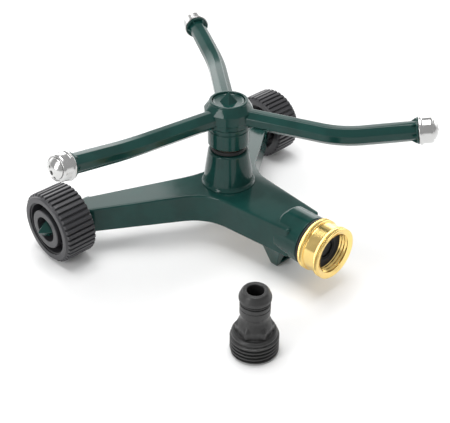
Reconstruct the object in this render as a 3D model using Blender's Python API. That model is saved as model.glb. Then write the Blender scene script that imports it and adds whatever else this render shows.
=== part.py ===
"""Three-arm rotary lawn sprinkler on a wheeled base, with a loose hose adapter.

Metres, +Z up. Wheels, foot and adapter stand on z = 0. The hose inlet points to -Y,
the wheel axle line is parallel to X. The model is built around the spindle axis and
then shifted so that its box is centred on x = y = 0.
"""
import math

import bmesh
import bpy
from mathutils import Matrix, Vector

# placement of the spindle axis in the world
SPINDLE_X = 0.0078
SPINDLE_Y = 0.0030
GAP = 0.0003

# base casting
DECK_Z = 0.0396
DECK_PLATE = 0.0030
SKIRT_WALL = 0.0028
SKIRT_BOTTOM_Z = 0.0192
LEG_FLAT_X = 0.0160
LEG_DROP = 0.095
SKIRT_DROP = 0.045
LEG_END_X = 0.0825
LEG_END_FRONT_Y = 0.0425
LEG_END_BACK_Y = 0.0600
INLET_END_Y = -0.0660
INLET_END_HALF = 0.0142
CROTCH_X = 0.0210
CROTCH_Y = -0.0018
CROTCH_R = 0.034
BACK_CORNER_Y = 0.0126
BACK_R = 0.040

# central column
COLUMN_FOOT_R = 0.0163
COLUMN_TOP_R = 0.0130
COLUMN_TOP_Z = 0.0633
COLUMN_CORE_R = 0.0085
SPINDLE_HOLE_R = 0.0056

# hose inlet
INLET_Z = 0.0284
BARREL_R = 0.0156
BARREL_BACK_Y = -0.0515
BARREL_FRONT_Y = -0.0732
BARREL_BORE_R = 0.0092
COUPLING_BACK_Y = -0.0759
COUPLING_FRONT_Y = -0.0919
COUPLING_R = 0.0166
COUPLING_WAIST_R = 0.0154
COUPLING_TEETH = 32
THREAD_MINOR_R = 0.0128
THREAD_MAJOR_R = 0.0137
THREAD_PITCH = 0.0022

# foot under the inlet leg
FOOT_HALF = 0.0066
FOOT_FRONT_Y = -0.0515
FOOT_BACK_Y = -0.0455

# wheels
WHEEL_Y = 0.0560
WHEEL_R = 0.0236
WHEEL_IN_X = 0.0843
WHEEL_OUT_X = 0.1065
TYRE_IN_R = 0.0178
RIM_IN_R = 0.0170
WHEEL_HUB_R = 0.0130
WHEEL_WELL_R = 0.0084
AXLE_R = 0.0040
HEAD_HALF = 0.0062
HEAD_RISE = 0.0058
RIBS = 40
RIB_DEPTH = 0.0013

# rotor
ROTOR_ANGLE = -67.6
ARM_Z = 0.0879
HUB_R = 0.0156
HUB_TOP_Z = 0.0979
HUB_SHOULDER_Z = 0.0923
HUB_BOTTOM_Z = 0.0823
HUB_BORE_R = 0.0092
RIM_R = 0.0121
PYRAMID_TOP_Z = 0.1026
COLLAR_R = 0.0132
COLLAR_BOTTOM_Z = 0.0680
ARM_WIDTH = 0.0114
ARM_ROOT_R = 0.0154
ARM_BEND_R = 0.0735
ARM_BEND_HALF = 0.0130
ARM_TIP_R = 0.1172
ARM_TIP_TURN = 4.7
ARM_TIP_Z = 0.0973
ARM_BORE_R = 0.0032
SPIGOT_R = 0.0052
SPIGOT_LENGTH = 0.0056

# nozzle cap
CAP_R = 0.0079
CAP_LIP_R = 0.0086
CAP_LENGTH = 0.0108
DOME_R = 0.0060
HOLE_SIDE = -0.0003
HOLE_LOW = -0.0020
HOLE_TILT = 0.60
FLANGE_R = 0.0080
FLANGE_THICK = 0.0012

# loose hose adapter
ADAPTER_X = -0.0714
ADAPTER_Y = -0.0945
ADAPTER_THREAD_R = 0.0140


def material(name, colour, roughness, metallic):
    """Principled material of one colour."""
    mat = bpy.data.materials.new(name)
    mat.use_nodes = True
    shader = mat.node_tree.nodes["Principled BSDF"]
    shader.inputs["Base Color"].default_value = (*colour, 1.0)
    shader.inputs["Roughness"].default_value = roughness
    shader.inputs["Metallic"].default_value = metallic
    mat.diffuse_color = (*colour, 1.0)
    return mat


PALETTE = {
    "paint": ((0.035, 0.105, 0.090), 0.22, 0.0),
    "plastic": ((0.035, 0.036, 0.038), 0.50, 0.0),
    "black": ((0.018, 0.018, 0.019), 0.42, 0.0),
    "rubber": ((0.012, 0.012, 0.012), 0.75, 0.0),
    "brass": ((0.830, 0.600, 0.230), 0.20, 1.0),
    "chrome": ((0.800, 0.805, 0.810), 0.10, 1.0),
    "steel": ((0.560, 0.570, 0.580), 0.30, 1.0),
    "nylon": ((0.780, 0.770, 0.730), 0.45, 0.0),
}


def place(name, bm, look, origin=(0.0, 0.0, 0.0), smooth_angle=35.0):
    """Turn a bmesh in sprinkler coordinates into a named object with its own origin."""
    clean(bm)
    bmesh.ops.translate(bm, verts=bm.verts, vec=-Vector(origin))
    mesh = bpy.data.meshes.new(name)
    bm.to_mesh(mesh)
    bm.free()
    mesh.shade_smooth()
    mesh.set_sharp_from_angle(angle=math.radians(smooth_angle))
    obj = bpy.data.objects.new(name, mesh)
    obj.location = Vector(origin) + Vector((SPINDLE_X, SPINDLE_Y, 0.0))
    bpy.context.collection.objects.link(obj)
    colour, roughness, metallic = PALETTE[look]
    mesh.materials.append(material(name + "_" + look, colour, roughness, metallic))
    return obj


def clean(bm):
    """Merge doubled points and drop slivers."""
    bmesh.ops.remove_doubles(bm, verts=bm.verts, dist=1e-6)
    bmesh.ops.dissolve_degenerate(bm, edges=bm.edges, dist=1e-7)
    bmesh.ops.recalc_face_normals(bm, faces=bm.faces)


def combine(target, tools, operation):
    """Apply exact Boolean operations with bmesh tools to a bmesh; tools are freed."""
    mesh = bpy.data.meshes.new("work")
    target.to_mesh(mesh)
    target.free()
    work = bpy.data.objects.new("work", mesh)
    bpy.context.collection.objects.link(work)
    helpers = []
    for number, tool in enumerate(tools):
        bmesh.ops.recalc_face_normals(tool, faces=tool.faces)
        tool_mesh = bpy.data.meshes.new("tool")
        tool.to_mesh(tool_mesh)
        tool.free()
        helper = bpy.data.objects.new("tool", tool_mesh)
        bpy.context.collection.objects.link(helper)
        helpers.append(helper)
        step = work.modifiers.new("bool%d" % number, "BOOLEAN")
        step.solver = "EXACT"
        step.operation = operation
        step.object = helper
    graph = bpy.context.evaluated_depsgraph_get()
    result = bmesh.new()
    result.from_mesh(work.evaluated_get(graph).to_mesh())
    work.evaluated_get(graph).to_mesh_clear()
    for item in helpers + [work]:
        bpy.data.objects.remove(item)
    clean(result)
    return result


def axis_matrix(axis, centre):
    """Matrix that takes the lathe axis +Z to the given direction through centre."""
    turn = Vector((0.0, 0.0, 1.0)).rotation_difference(Vector(axis)).to_matrix().to_4x4()
    return Matrix.Translation(Vector(centre)) @ turn


def lathe(profile, steps, start=0.0, closed=True):
    """Revolve (radius, height) points about Z; start is the angle of the first section."""
    bm = bmesh.new()
    ring = [bm.verts.new((r, 0.0, z)) for r, z in profile]
    edges = [bm.edges.new(pair) for pair in zip(ring, ring[1:])]
    if closed:
        edges.append(bm.edges.new((ring[-1], ring[0])))
    bmesh.ops.rotate(bm, verts=ring, matrix=Matrix.Rotation(math.radians(start), 3, "Z"))
    bmesh.ops.spin(bm, geom=ring + edges, cent=(0, 0, 0), axis=(0, 0, 1),
                   angle=math.tau, steps=steps, use_merge=True, use_duplicate=False)
    clean(bm)
    return bm


def turned(profile, steps, axis, centre, start=0.0, closed=True):
    """Lathe body with its axis along a direction through centre."""
    bm = lathe(profile, steps, start, closed)
    bmesh.ops.transform(bm, matrix=axis_matrix(axis, centre), verts=bm.verts)
    return bm


def ring_profile(inner, outer, low, high, chamfer=0.0):
    """Rectangular ring section, its outer corners chamfered if asked."""
    if not chamfer:
        return [(inner, low), (outer, low), (outer, high), (inner, high)]
    return [(inner, low), (outer - chamfer, low), (outer, low + chamfer),
            (outer, high - chamfer), (outer - chamfer, high), (inner, high)]


def box(centre, size):
    """Axis-aligned block."""
    bm = bmesh.new()
    bmesh.ops.create_cube(bm, size=1.0)
    bmesh.ops.scale(bm, vec=size, verts=bm.verts)
    bmesh.ops.translate(bm, vec=centre, verts=bm.verts)
    return bm


def hull(points):
    """Convex body over points."""
    bm = bmesh.new()
    for point in points:
        bm.verts.new(point)
    bmesh.ops.convex_hull(bm, input=bm.verts)
    bmesh.ops.dissolve_limit(bm, angle_limit=0.001, verts=bm.verts, edges=bm.edges)
    return bm


def cylinder(radius, low, high, steps, axis, centre, start=2.3):
    """Solid cylinder between two distances along an axis."""
    return turned([(0.0, low), (radius, low), (radius, high), (0.0, high)],
                  steps, axis, centre, start, closed=False)


def inset_corners(corners, inset):
    """Move every side of a counter-clockwise polygon inwards by the same distance."""
    count = len(corners)
    moved = []
    for i in range(count):
        before = Vector(corners[i - 1])
        here = Vector(corners[i])
        after = Vector(corners[(i + 1) % count])
        d1 = (here - before).normalized()
        d2 = (after - here).normalized()
        n1 = Vector((-d1.y, d1.x))
        n2 = Vector((-d2.y, d2.x))
        moved.append(here + (n1 + n2) * (inset / (1.0 + n1.dot(n2))))
    return moved


def rounded_outline(corners, radii, inset=0.0, step_angle=12.0):
    """Counter-clockwise outline with an arc of the given radius at every corner."""
    moved = inset_corners(corners, inset)
    count = len(moved)
    outline = []
    for i in range(count):
        here = moved[i]
        d1 = (here - moved[i - 1]).normalized()
        d2 = (moved[(i + 1) % count] - here).normalized()
        turn = math.atan2(d1.x * d2.y - d1.y * d2.x, d1.dot(d2))
        radius = max(radii[i] - inset if turn > 0 else radii[i] + inset, 0.0005)
        side = 1.0 if turn > 0 else -1.0
        tangent = radius * math.tan(abs(turn) / 2.0)
        start = here - d1 * tangent
        centre = start + Vector((-d1.y, d1.x)) * radius * side
        pieces = max(2, int(math.ceil(math.degrees(abs(turn)) / step_angle)))
        for j in range(pieces + 1):
            angle = turn * j / pieces
            arm = start - centre
            outline.append((centre.x + arm.x * math.cos(angle) - arm.y * math.sin(angle),
                            centre.y + arm.x * math.sin(angle) + arm.y * math.cos(angle)))
    return outline


def deck_corners():
    """Corners of the Y-shaped deck, counter-clockwise from the left end of the inlet leg."""
    return ([(-INLET_END_HALF, INLET_END_Y), (INLET_END_HALF, INLET_END_Y),
             (CROTCH_X, CROTCH_Y), (LEG_END_X, LEG_END_FRONT_Y), (LEG_END_X, LEG_END_BACK_Y),
             (0.0, BACK_CORNER_Y), (-LEG_END_X, LEG_END_BACK_Y),
             (-LEG_END_X, LEG_END_FRONT_Y), (-CROTCH_X, CROTCH_Y)],
            [0.0020, 0.0020, CROTCH_R, 0.0025, 0.0060, BACK_R, 0.0060, 0.0025, CROTCH_R])


def deck_prism(inset, top, bottom, top_drop, bottom_drop):
    """Prism over the deck outline whose top and bottom fall towards the leg ends."""
    corners, radii = deck_corners()
    outline = rounded_outline(corners, radii, inset)
    bm = bmesh.new()
    face = bm.faces.new([bm.verts.new((x, y, bottom)) for x, y in outline])
    grown = bmesh.ops.extrude_face_region(bm, geom=[face])
    lifted = [item for item in grown["geom"] if isinstance(item, bmesh.types.BMVert)]
    bmesh.ops.translate(bm, verts=lifted, vec=(0.0, 0.0, top - bottom))
    for side in (-1.0, 1.0):
        bmesh.ops.bisect_plane(bm, geom=bm.verts[:] + bm.edges[:] + bm.faces[:],
                               plane_co=(side * LEG_FLAT_X, 0.0, 0.0), plane_no=(1.0, 0.0, 0.0))
    middle = (top + bottom) / 2.0
    for vert in bm.verts:
        out = max(0.0, abs(vert.co.x) - LEG_FLAT_X)
        vert.co.z -= out * (top_drop if vert.co.z > middle else bottom_drop)
    bmesh.ops.recalc_face_normals(bm, faces=bm.faces)
    return bm


def column_profile():
    """Solid column with a stepped foot and a rounded top rim."""
    return [(0.0, DECK_Z - DECK_PLATE + 0.001), (0.0168, DECK_Z - DECK_PLATE + 0.001),
            (0.0172, DECK_Z + 0.0004), (0.0168, DECK_Z + 0.0010),
            (COLUMN_FOOT_R, DECK_Z + 0.0013), (0.0137, COLUMN_TOP_Z - 0.0032),
            (COLUMN_TOP_R, COLUMN_TOP_Z - 0.0012), (0.0124, COLUMN_TOP_Z - 0.0003),
            (0.0118, COLUMN_TOP_Z), (0.0, COLUMN_TOP_Z)]


def foot_block():
    """Tapering foot from the skirt bottoms down to the ground."""
    top = SKIRT_BOTTOM_Z + 0.0018
    points = []
    for side in (-1.0, 1.0):
        points += [(side * 0.0144, -0.0425, top), (side * 0.0142, -0.0600, top),
                   (side * FOOT_HALF, FOOT_BACK_Y, 0.0), (side * FOOT_HALF, FOOT_FRONT_Y, 0.0)]
    return hull(points)


def build_base():
    """Die-cast base: deck with skirts, column, inlet barrel, foot and axle bosses."""
    shell = deck_prism(0.0, DECK_Z, SKIRT_BOTTOM_Z, LEG_DROP, SKIRT_DROP)
    room = deck_prism(SKIRT_WALL, DECK_Z - DECK_PLATE, SKIRT_BOTTOM_Z - 0.005,
                      LEG_DROP, SKIRT_DROP)
    notch = box((0.0, -0.0625, DECK_Z + 0.001), (0.0244, 0.0200, 0.0120))
    shell = combine(shell, [room, notch], "DIFFERENCE")
    additions = []
    additions.append(turned([(0.0, BARREL_FRONT_Y), (BARREL_R - 0.0003, BARREL_FRONT_Y),
                             (BARREL_R, BARREL_FRONT_Y + 0.0003),
                             (BARREL_R, BARREL_BACK_Y - 0.0040),
                             (BARREL_R - 0.0040, BARREL_BACK_Y), (0.0, BARREL_BACK_Y)],
                            40, (0, 1, 0), (0, 0, INLET_Z), closed=False))
    additions.append(lathe(column_profile(), 40, closed=False))
    additions.append(foot_block())
    for side in (-1.0, 1.0):
        additions.append(cylinder(0.0078, LEG_END_X - 0.0125, LEG_END_X + 0.0003, 28,
                                  (side, 0, 0), (0.0, WHEEL_Y, WHEEL_R)))
    body = combine(shell, additions, "UNION")
    cuts = [cylinder(COLUMN_CORE_R, 0.015, COLUMN_TOP_Z - 0.0090, 32, (0, 0, 1), (0, 0, 0)),
            cylinder(SPINDLE_HOLE_R, 0.020, COLUMN_TOP_Z - 0.0010, 32, (0, 0, 1), (0, 0, 0)),
            cylinder(0.0101, COLUMN_TOP_Z - 0.0030, COLUMN_TOP_Z + 0.002, 40,
                     (0, 0, 1), (0, 0, 0)),
            cylinder(BARREL_BORE_R, BARREL_FRONT_Y - 0.002, BARREL_BACK_Y + 0.001, 32,
                     (0, 1, 0), (0, 0, INLET_Z))]
    cuts.append(box((0.0, -0.0585, 0.0075), (0.0092, 0.0200, 0.0110)))
    for side in (-1.0, 1.0):
        cuts.append(cylinder(AXLE_R + GAP, LEG_END_X - 0.0095, LEG_END_X + 0.002, 24,
                             (side, 0, 0), (0.0, WHEEL_Y, WHEEL_R)))
    body = combine(body, cuts, "DIFFERENCE")
    place("base_casting", body, "paint")


def frames_along(path):
    """Side and up directions for every point of a path, up kept near +Z."""
    frames = []
    for i, point in enumerate(path):
        ahead = path[min(i + 1, len(path) - 1)]
        behind = path[max(i - 1, 0)]
        along = (ahead - behind).normalized()
        side = along.cross(Vector((0.0, 0.0, 1.0)))
        if side.length < 0.2:
            side = Vector((1.0, 0.0, 0.0))
        side.normalize()
        frames.append((point, side, side.cross(along).normalized()))
    return frames


def sweep(path, sections, bore):
    """Tube along a path: one outline per path point outside, a round bore inside."""
    bm = bmesh.new()
    outer = []
    inner = []
    for (point, side, up), section in zip(frames_along(path), sections):
        outer.append([bm.verts.new(point + side * u + up * v) for u, v in section])
        inner.append([bm.verts.new(point + side * u + up * v)
                      for u, v in round_section(bore, len(section))])
    count = len(sections[0])
    strips = list(zip(outer, outer[1:])) + list(zip(inner, inner[1:]))
    strips += [(outer[0], inner[0]), (outer[-1], inner[-1])]
    for one, two in strips:
        for k in range(count):
            bm.faces.new((one[k], one[(k + 1) % count], two[(k + 1) % count], two[k]))
    bmesh.ops.recalc_face_normals(bm, faces=bm.faces)
    return bm


def round_section(radius, sides=16):
    """Circle of points, starting at half a step."""
    return [(radius * math.cos(math.tau * (k + 0.5) / sides),
             radius * math.sin(math.tau * (k + 0.5) / sides)) for k in range(sides)]


def octagon_section(width, edge_radius, blend):
    """Octagon with narrow bevelled corners, blended towards a circle of the same width."""
    points = []
    for k in range(8):
        middle = math.tau * (k + 0.5) / 8
        corner = (width / 2.0) / math.cos(math.pi / 8)
        narrow = edge_radius / corner
        for sign in (-1.0, 1.0):
            flat = (corner - edge_radius * 0.10, middle + sign * narrow)
            full = (width / 2.0, middle + sign * math.tau / 32)
            radius = flat[0] * (1.0 - blend) + full[0] * blend
            angle = flat[1] * (1.0 - blend) + full[1] * blend
            points.append((radius * math.cos(angle), radius * math.sin(angle)))
    return points


def arm_line(angle):
    """Root, bend corner and tip of an arm, and the direction of its tip."""
    out = Vector((math.cos(angle), math.sin(angle), 0.0))
    tip_angle = angle + math.radians(ARM_TIP_TURN)
    root = out * ARM_ROOT_R + Vector((0.0, 0.0, ARM_Z))
    bend = out * ARM_BEND_R + Vector((0.0, 0.0, ARM_Z))
    tip = Vector((ARM_TIP_R * math.cos(tip_angle), ARM_TIP_R * math.sin(tip_angle), ARM_TIP_Z))
    return out, root, bend, tip, (tip - bend).normalized()


def build_arm(number, angle):
    """Hollow arm: round stub in the hub, octagonal beam, bend, round spigot for the cap."""
    out, root, bend, tip, tip_dir = arm_line(angle)
    start = bend - out * ARM_BEND_HALF
    end = bend + tip_dir * ARM_BEND_HALF
    path = [root - out * 0.0050, root, root + out * 0.00002, start - out * 0.012]
    sections = [round_section(0.0046), round_section(0.0046),
                octagon_section(ARM_WIDTH, 0.0006, 0.0), octagon_section(ARM_WIDTH, 0.0006, 0.0)]
    for j in range(6):
        t = j / 5.0
        path.append(start * (1 - t) ** 2 + bend * 2 * t * (1 - t) + end * t ** 2)
        sections.append(octagon_section(ARM_WIDTH, 0.0006, 0.10 * t))
    face = tip - tip_dir * GAP
    behind = face - tip_dir * FLANGE_THICK
    path += [behind, behind + tip_dir * 0.00002, face, face + tip_dir * 0.00002,
             tip + tip_dir * SPIGOT_LENGTH]
    sections += [octagon_section(ARM_WIDTH, 0.0006, 0.35), round_section(FLANGE_R),
                 round_section(FLANGE_R), round_section(SPIGOT_R), round_section(SPIGOT_R)]
    place("arm_%d" % number, sweep(path, sections, ARM_BORE_R), "paint", smooth_angle=12.0)
    return tip, tip_dir


def build_nozzle(number, tip, tip_dir):
    """Chrome cap with a lip, a barrel, a domed face with three holes, and its seal."""
    length = CAP_LENGTH
    profile = [(0.0, length - 0.0016), (0.0030, length - 0.0020), (0.0046, length - 0.0030),
               (0.0057, length - 0.0036), (0.0057, 0.0), (CAP_LIP_R, 0.0), (CAP_LIP_R, 0.0014), (CAP_R, 0.0018),
               (CAP_R, length - 0.0042), (0.0076, length - 0.0029), (0.0068, length - 0.0024),
               (DOME_R + 0.0003, length - 0.0026), (DOME_R, length - 0.0022),
               (0.0048, length - 0.0013), (0.0032, length - 0.0005), (0.0016, length - 0.0001),
               (0.0, length)]
    bm = lathe(profile, 24, closed=False)
    drills = []
    for along, radius in ((0.0029, 0.0007), (0.0, 0.0012), (-0.0026, 0.0007)):
        spot = (HOLE_SIDE - along * HOLE_TILT, HOLE_LOW + along, 0.0)
        drills.append(cylinder(radius, length - 0.0055, length + 0.001, 8, (0, 0, 1), spot))
    bm = combine(bm, drills, "DIFFERENCE")
    side = tip_dir.cross(Vector((0.0, 0.0, 1.0))).normalized()
    up = side.cross(tip_dir).normalized()
    frame = Matrix((side, up, tip_dir)).transposed()
    if frame.determinant() < 0:
        frame = Matrix((-side, up, tip_dir)).transposed()
    move = Matrix.Translation(tip) @ frame.to_4x4()
    bmesh.ops.transform(bm, matrix=move, verts=bm.verts)
    place("nozzle_cap_%d" % number, bm, "chrome", origin=tip)
    seal = lathe(ring_profile(0.0034, 0.0053, SPIGOT_LENGTH + GAP, SPIGOT_LENGTH + 0.0014), 16)
    bmesh.ops.transform(seal, matrix=move, verts=seal.verts)
    place("nozzle_seal_%d" % number, seal, "rubber", origin=tip)


def build_rotor():
    """Hub, cap, collar, bush, seal, arms and nozzles."""
    twelve = [(0.0, HUB_TOP_Z - 0.0008), (RIM_R - 0.0004, HUB_TOP_Z - 0.0008),
              (HUB_R, HUB_SHOULDER_Z), (HUB_R, 0.0864), (0.0146, 0.0856),
              (0.0146, HUB_BOTTOM_Z), (0.0, HUB_BOTTOM_Z)]
    hub = lathe(twelve, 12, start=ROTOR_ANGLE + 15.0, closed=False)
    rim = lathe([(0.0, HUB_TOP_Z - 0.0024), (RIM_R - 0.0001, HUB_TOP_Z - 0.0024),
                 (RIM_R, HUB_TOP_Z - 0.0006), (RIM_R - 0.0004, HUB_TOP_Z), (0.0, HUB_TOP_Z)],
                48, closed=False)
    cuts = [cylinder(HUB_BORE_R, HUB_BOTTOM_Z - 0.002, 0.0946, 32, (0, 0, 1), (0, 0, 0)),
            cylinder(0.0103, 0.0946, HUB_TOP_Z + 0.002, 48, (0, 0, 1), (0, 0, 0))]
    for k in range(3):
        angle = math.radians(ROTOR_ANGLE + 120.0 * k)
        out = (math.cos(angle), math.sin(angle), 0.0)
        cuts.append(cylinder(0.0049, 0.0060, 0.0180, 24, out, (0, 0, ARM_Z)))
    hub = combine(hub, [rim], "UNION")
    hub = combine(hub, cuts, "DIFFERENCE")
    place("rotor_hub", hub, "paint")

    dish = lathe([(0.0, 0.0949), (0.0094, 0.0949), (0.0100, 0.0953), (0.0100, 0.0969),
                  (0.0096, 0.0972), (0.0088, 0.0966), (0.0, 0.0962)], 36, closed=False)
    spike = hull([(0.0062, 0.0, 0.0958), (-0.0062, 0.0, 0.0958), (0.0, 0.0062, 0.0958),
                  (0.0, -0.0062, 0.0958), (0.0, 0.0, PYRAMID_TOP_Z)])
    bmesh.ops.rotate(spike, verts=spike.verts,
                     matrix=Matrix.Rotation(math.radians(ROTOR_ANGLE + 22.0), 3, "Z"))
    place("hub_cap", combine(dish, [spike], "UNION"), "paint")

    collar = [(0.0093, COLLAR_BOTTOM_Z), (COLLAR_R - 0.0006, COLLAR_BOTTOM_Z),
              (COLLAR_R, COLLAR_BOTTOM_Z + 0.0006), (COLLAR_R, 0.0782),
              (0.0128, 0.0786), (0.0128, 0.0796), (0.0136, 0.0800),
              (0.0136, HUB_BOTTOM_Z - GAP), (0.0093, HUB_BOTTOM_Z - GAP)]
    place("swivel_collar", lathe(collar, 36), "paint")
    place("rotor_bush", lathe(ring_profile(0.0048, 0.0090, 0.0662, 0.0812), 24), "brass")
    place("spindle_seal", lathe(ring_profile(0.0048, 0.0088, 0.0816, 0.0832), 24), "rubber")
    for k in range(3):
        tip, tip_dir = build_arm(k + 1, math.radians(ROTOR_ANGLE + 120.0 * k))
        build_nozzle(k + 1, tip, tip_dir)


def build_spindle():
    """Hollow spindle, thrust washer, retaining nut and the water tube below them."""
    shaft = [(0.0030, 0.0330), (0.0050, 0.0330), (0.0053, 0.0333),
             (0.0053, COLUMN_TOP_Z - 0.0027), (0.0097, COLUMN_TOP_Z - 0.0027),
             (0.0097, COLUMN_TOP_Z - 0.0007), (0.0045, COLUMN_TOP_Z - 0.0007),
             (0.0045, 0.0922), (0.0042, 0.0925), (0.0030, 0.0925)]
    place("spindle", lathe(shaft, 24), "brass")
    place("thrust_washer", lathe(ring_profile(0.0048, 0.0096, 0.0630, 0.0646), 24), "nylon")
    place("bearing_ring", lathe(ring_profile(0.0099, 0.0113, 0.0636, 0.0660), 24), "rubber")
    nut = lathe([(0.0048, 0.0836), (0.0078, 0.0836), (0.0078, 0.0870), (0.0048, 0.0870)], 6)
    bore = cylinder(0.0048, 0.083, 0.088, 24, (0, 0, 1), (0, 0, 0))
    place("spindle_nut", combine(nut, [bore], "DIFFERENCE"), "steel")
    tube = cylinder(0.0064, -0.0530, 0.0068, 28, (0, 1, 0), (0, 0, INLET_Z))
    riser = cylinder(0.0074, INLET_Z - 0.0064, 0.0362, 28, (0, 0, 1), (0, 0, 0))
    bores = [cylinder(0.0044, -0.0540, 0.0, 20, (0, 1, 0), (0, 0, INLET_Z)),
             cylinder(0.0032, INLET_Z, 0.0340, 20, (0, 0, 1), (0, 0, 0)),
             cylinder(0.0056, 0.0327, 0.0380, 24, (0, 0, 1), (0, 0, 0))]
    tube = combine(combine(tube, [riser], "UNION"), bores, "DIFFERENCE")
    place("water_tube", tube, "brass")


def build_inlet():
    """Tail, seal, swivel coupling with its thread, hose washer and strainer."""
    tail = [(0.0052, -0.0536), (0.0067, -0.0536), (0.0067, -0.0518), (0.0089, -0.0518),
            (0.0089, -0.0740),
            (0.0080, -0.0742), (0.0080, -0.0802), (0.0118, -0.0804), (0.0118, -0.0820),
            (0.0115, -0.0823), (0.0052, -0.0823)]
    place("inlet_tail", turned(tail, 28, (0, 1, 0), (0, 0, INLET_Z)), "brass")
    seal = ring_profile(0.0093, 0.0158, -0.0756, -0.0735, 0.0006)
    place("inlet_seal", turned(seal, 36, (0, 1, 0), (0, 0, INLET_Z)), "rubber")

    back = COUPLING_BACK_Y
    front = COUPLING_FRONT_Y
    outer = [(0.0084, back), (COUPLING_R - 0.0006, back), (COUPLING_R, back - 0.0006),
             (COUPLING_R, back - 0.0046), (COUPLING_WAIST_R, back - 0.0052),
             (COUPLING_WAIST_R, front + 0.0056), (COUPLING_R, front + 0.0050),
             (COUPLING_R, front + 0.0008), (COUPLING_R - 0.0008, front),
             (THREAD_MAJOR_R + 0.0003, front), (THREAD_MINOR_R, front + 0.0012)]
    inner = []
    for turn in range(3):
        low = front + 0.0012 + turn * THREAD_PITCH
        inner += [(THREAD_MINOR_R, low + 0.0004), (THREAD_MAJOR_R, low + 0.0011),
                  (THREAD_MINOR_R, low + 0.0018)]
    inner += [(THREAD_MINOR_R, -0.0800), (0.0084, -0.0800)]
    bm = lathe(outer + inner, COUPLING_TEETH * 2)
    for vert in bm.verts:
        radius = math.hypot(vert.co.x, vert.co.y)
        tooth = round(math.atan2(vert.co.y, vert.co.x) / math.tau * COUPLING_TEETH * 2) % 2
        if tooth and radius > COUPLING_R - 0.0001:
            vert.co.x *= (COUPLING_R - 0.0004) / radius
            vert.co.y *= (COUPLING_R - 0.0004) / radius
    bmesh.ops.transform(bm, matrix=axis_matrix((0, 1, 0), (0, 0, INLET_Z)), verts=bm.verts)
    place("swivel_coupling", bm, "brass", origin=(0.0, back, INLET_Z), smooth_angle=22.0)
    washer = ring_profile(0.0066, 0.0123, -0.0852, -0.0826)
    place("hose_washer", turned(washer, 32, (0, 1, 0), (0, 0, INLET_Z)), "rubber",
          origin=(0.0, back, INLET_Z))
    screen = [(0.0, -0.0829), (0.0062, -0.0829), (0.0062, -0.0850), (0.0057, -0.0850),
              (0.0057, -0.0834), (0.0, -0.0834)]
    place("strainer", turned(screen, 24, (0, 1, 0), (0, 0, INLET_Z), closed=False), "steel",
          origin=(0.0, back, INLET_Z))


def build_wheel(name, side):
    """Wheel body, ribbed tyre, washer and axle with a four-sided head."""
    centre = (0.0, WHEEL_Y, WHEEL_R)
    axis = (side, 0, 0)
    origin = (side * (WHEEL_IN_X + WHEEL_OUT_X) / 2.0, WHEEL_Y, WHEEL_R)
    low = WHEEL_IN_X
    high = WHEEL_OUT_X
    web = (low + high) / 2.0
    bore = AXLE_R + GAP
    body = [(bore, low), (0.0124, low), (WHEEL_HUB_R, low + 0.0006),
            (WHEEL_HUB_R, web - 0.0015), (RIM_IN_R, web - 0.0015), (RIM_IN_R, low + 0.0010),
            (TYRE_IN_R - GAP, low + 0.0010), (TYRE_IN_R - GAP, high - 0.0010),
            (RIM_IN_R, high - 0.0010), (RIM_IN_R, web + 0.0015), (WHEEL_HUB_R, web + 0.0015),
            (WHEEL_HUB_R, high - 0.0002), (WHEEL_HUB_R - 0.0006, high + 0.0004),
            (WHEEL_WELL_R, high + 0.0004), (WHEEL_WELL_R, high - 0.0080),
            (bore, high - 0.0080)]
    place("wheel_" + name, turned(body, 32, axis, centre), "plastic", origin=origin)

    tyre = [(TYRE_IN_R, low), (WHEEL_R - 0.0016, low), (WHEEL_R, low + 0.0010),
            (WHEEL_R, high - 0.0010), (WHEEL_R - 0.0016, high), (TYRE_IN_R, high)]
    bm = lathe(tyre, RIBS * 3)
    for vert in bm.verts:
        radius = math.hypot(vert.co.x, vert.co.y)
        index = round(math.atan2(vert.co.y, vert.co.x) / math.tau * RIBS * 3) % 3
        if index == 1 and radius > WHEEL_R - 0.0001:
            vert.co.x *= 1.0 - RIB_DEPTH / radius
            vert.co.y *= 1.0 - RIB_DEPTH / radius
    bmesh.ops.transform(bm, matrix=axis_matrix(axis, centre), verts=bm.verts)
    place("tyre_" + name, bm, "plastic", origin=origin, smooth_angle=25.0)

    washer = ring_profile(AXLE_R + GAP, 0.0076, LEG_END_X + 0.0006, low - GAP)
    place("wheel_washer_" + name, turned(washer, 24, axis, centre), "nylon", origin=origin)
    shaft = cylinder(AXLE_R, LEG_END_X - 0.0092, high - 0.0020, 24, axis, centre)
    base = high - 0.0026
    points = []
    for y, z in ((1, 0), (-1, 0), (0, 1), (0, -1)):
        points.append((side * base, WHEEL_Y + HEAD_HALF * y, WHEEL_R + HEAD_HALF * z))
        points.append((side * (base + 0.0014), WHEEL_Y + HEAD_HALF * y,
                       WHEEL_R + HEAD_HALF * z))
    points.append((side * (high + HEAD_RISE), WHEEL_Y, WHEEL_R))
    place("axle_" + name, combine(shaft, [hull(points)], "UNION"), "paint", origin=origin)


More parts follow.
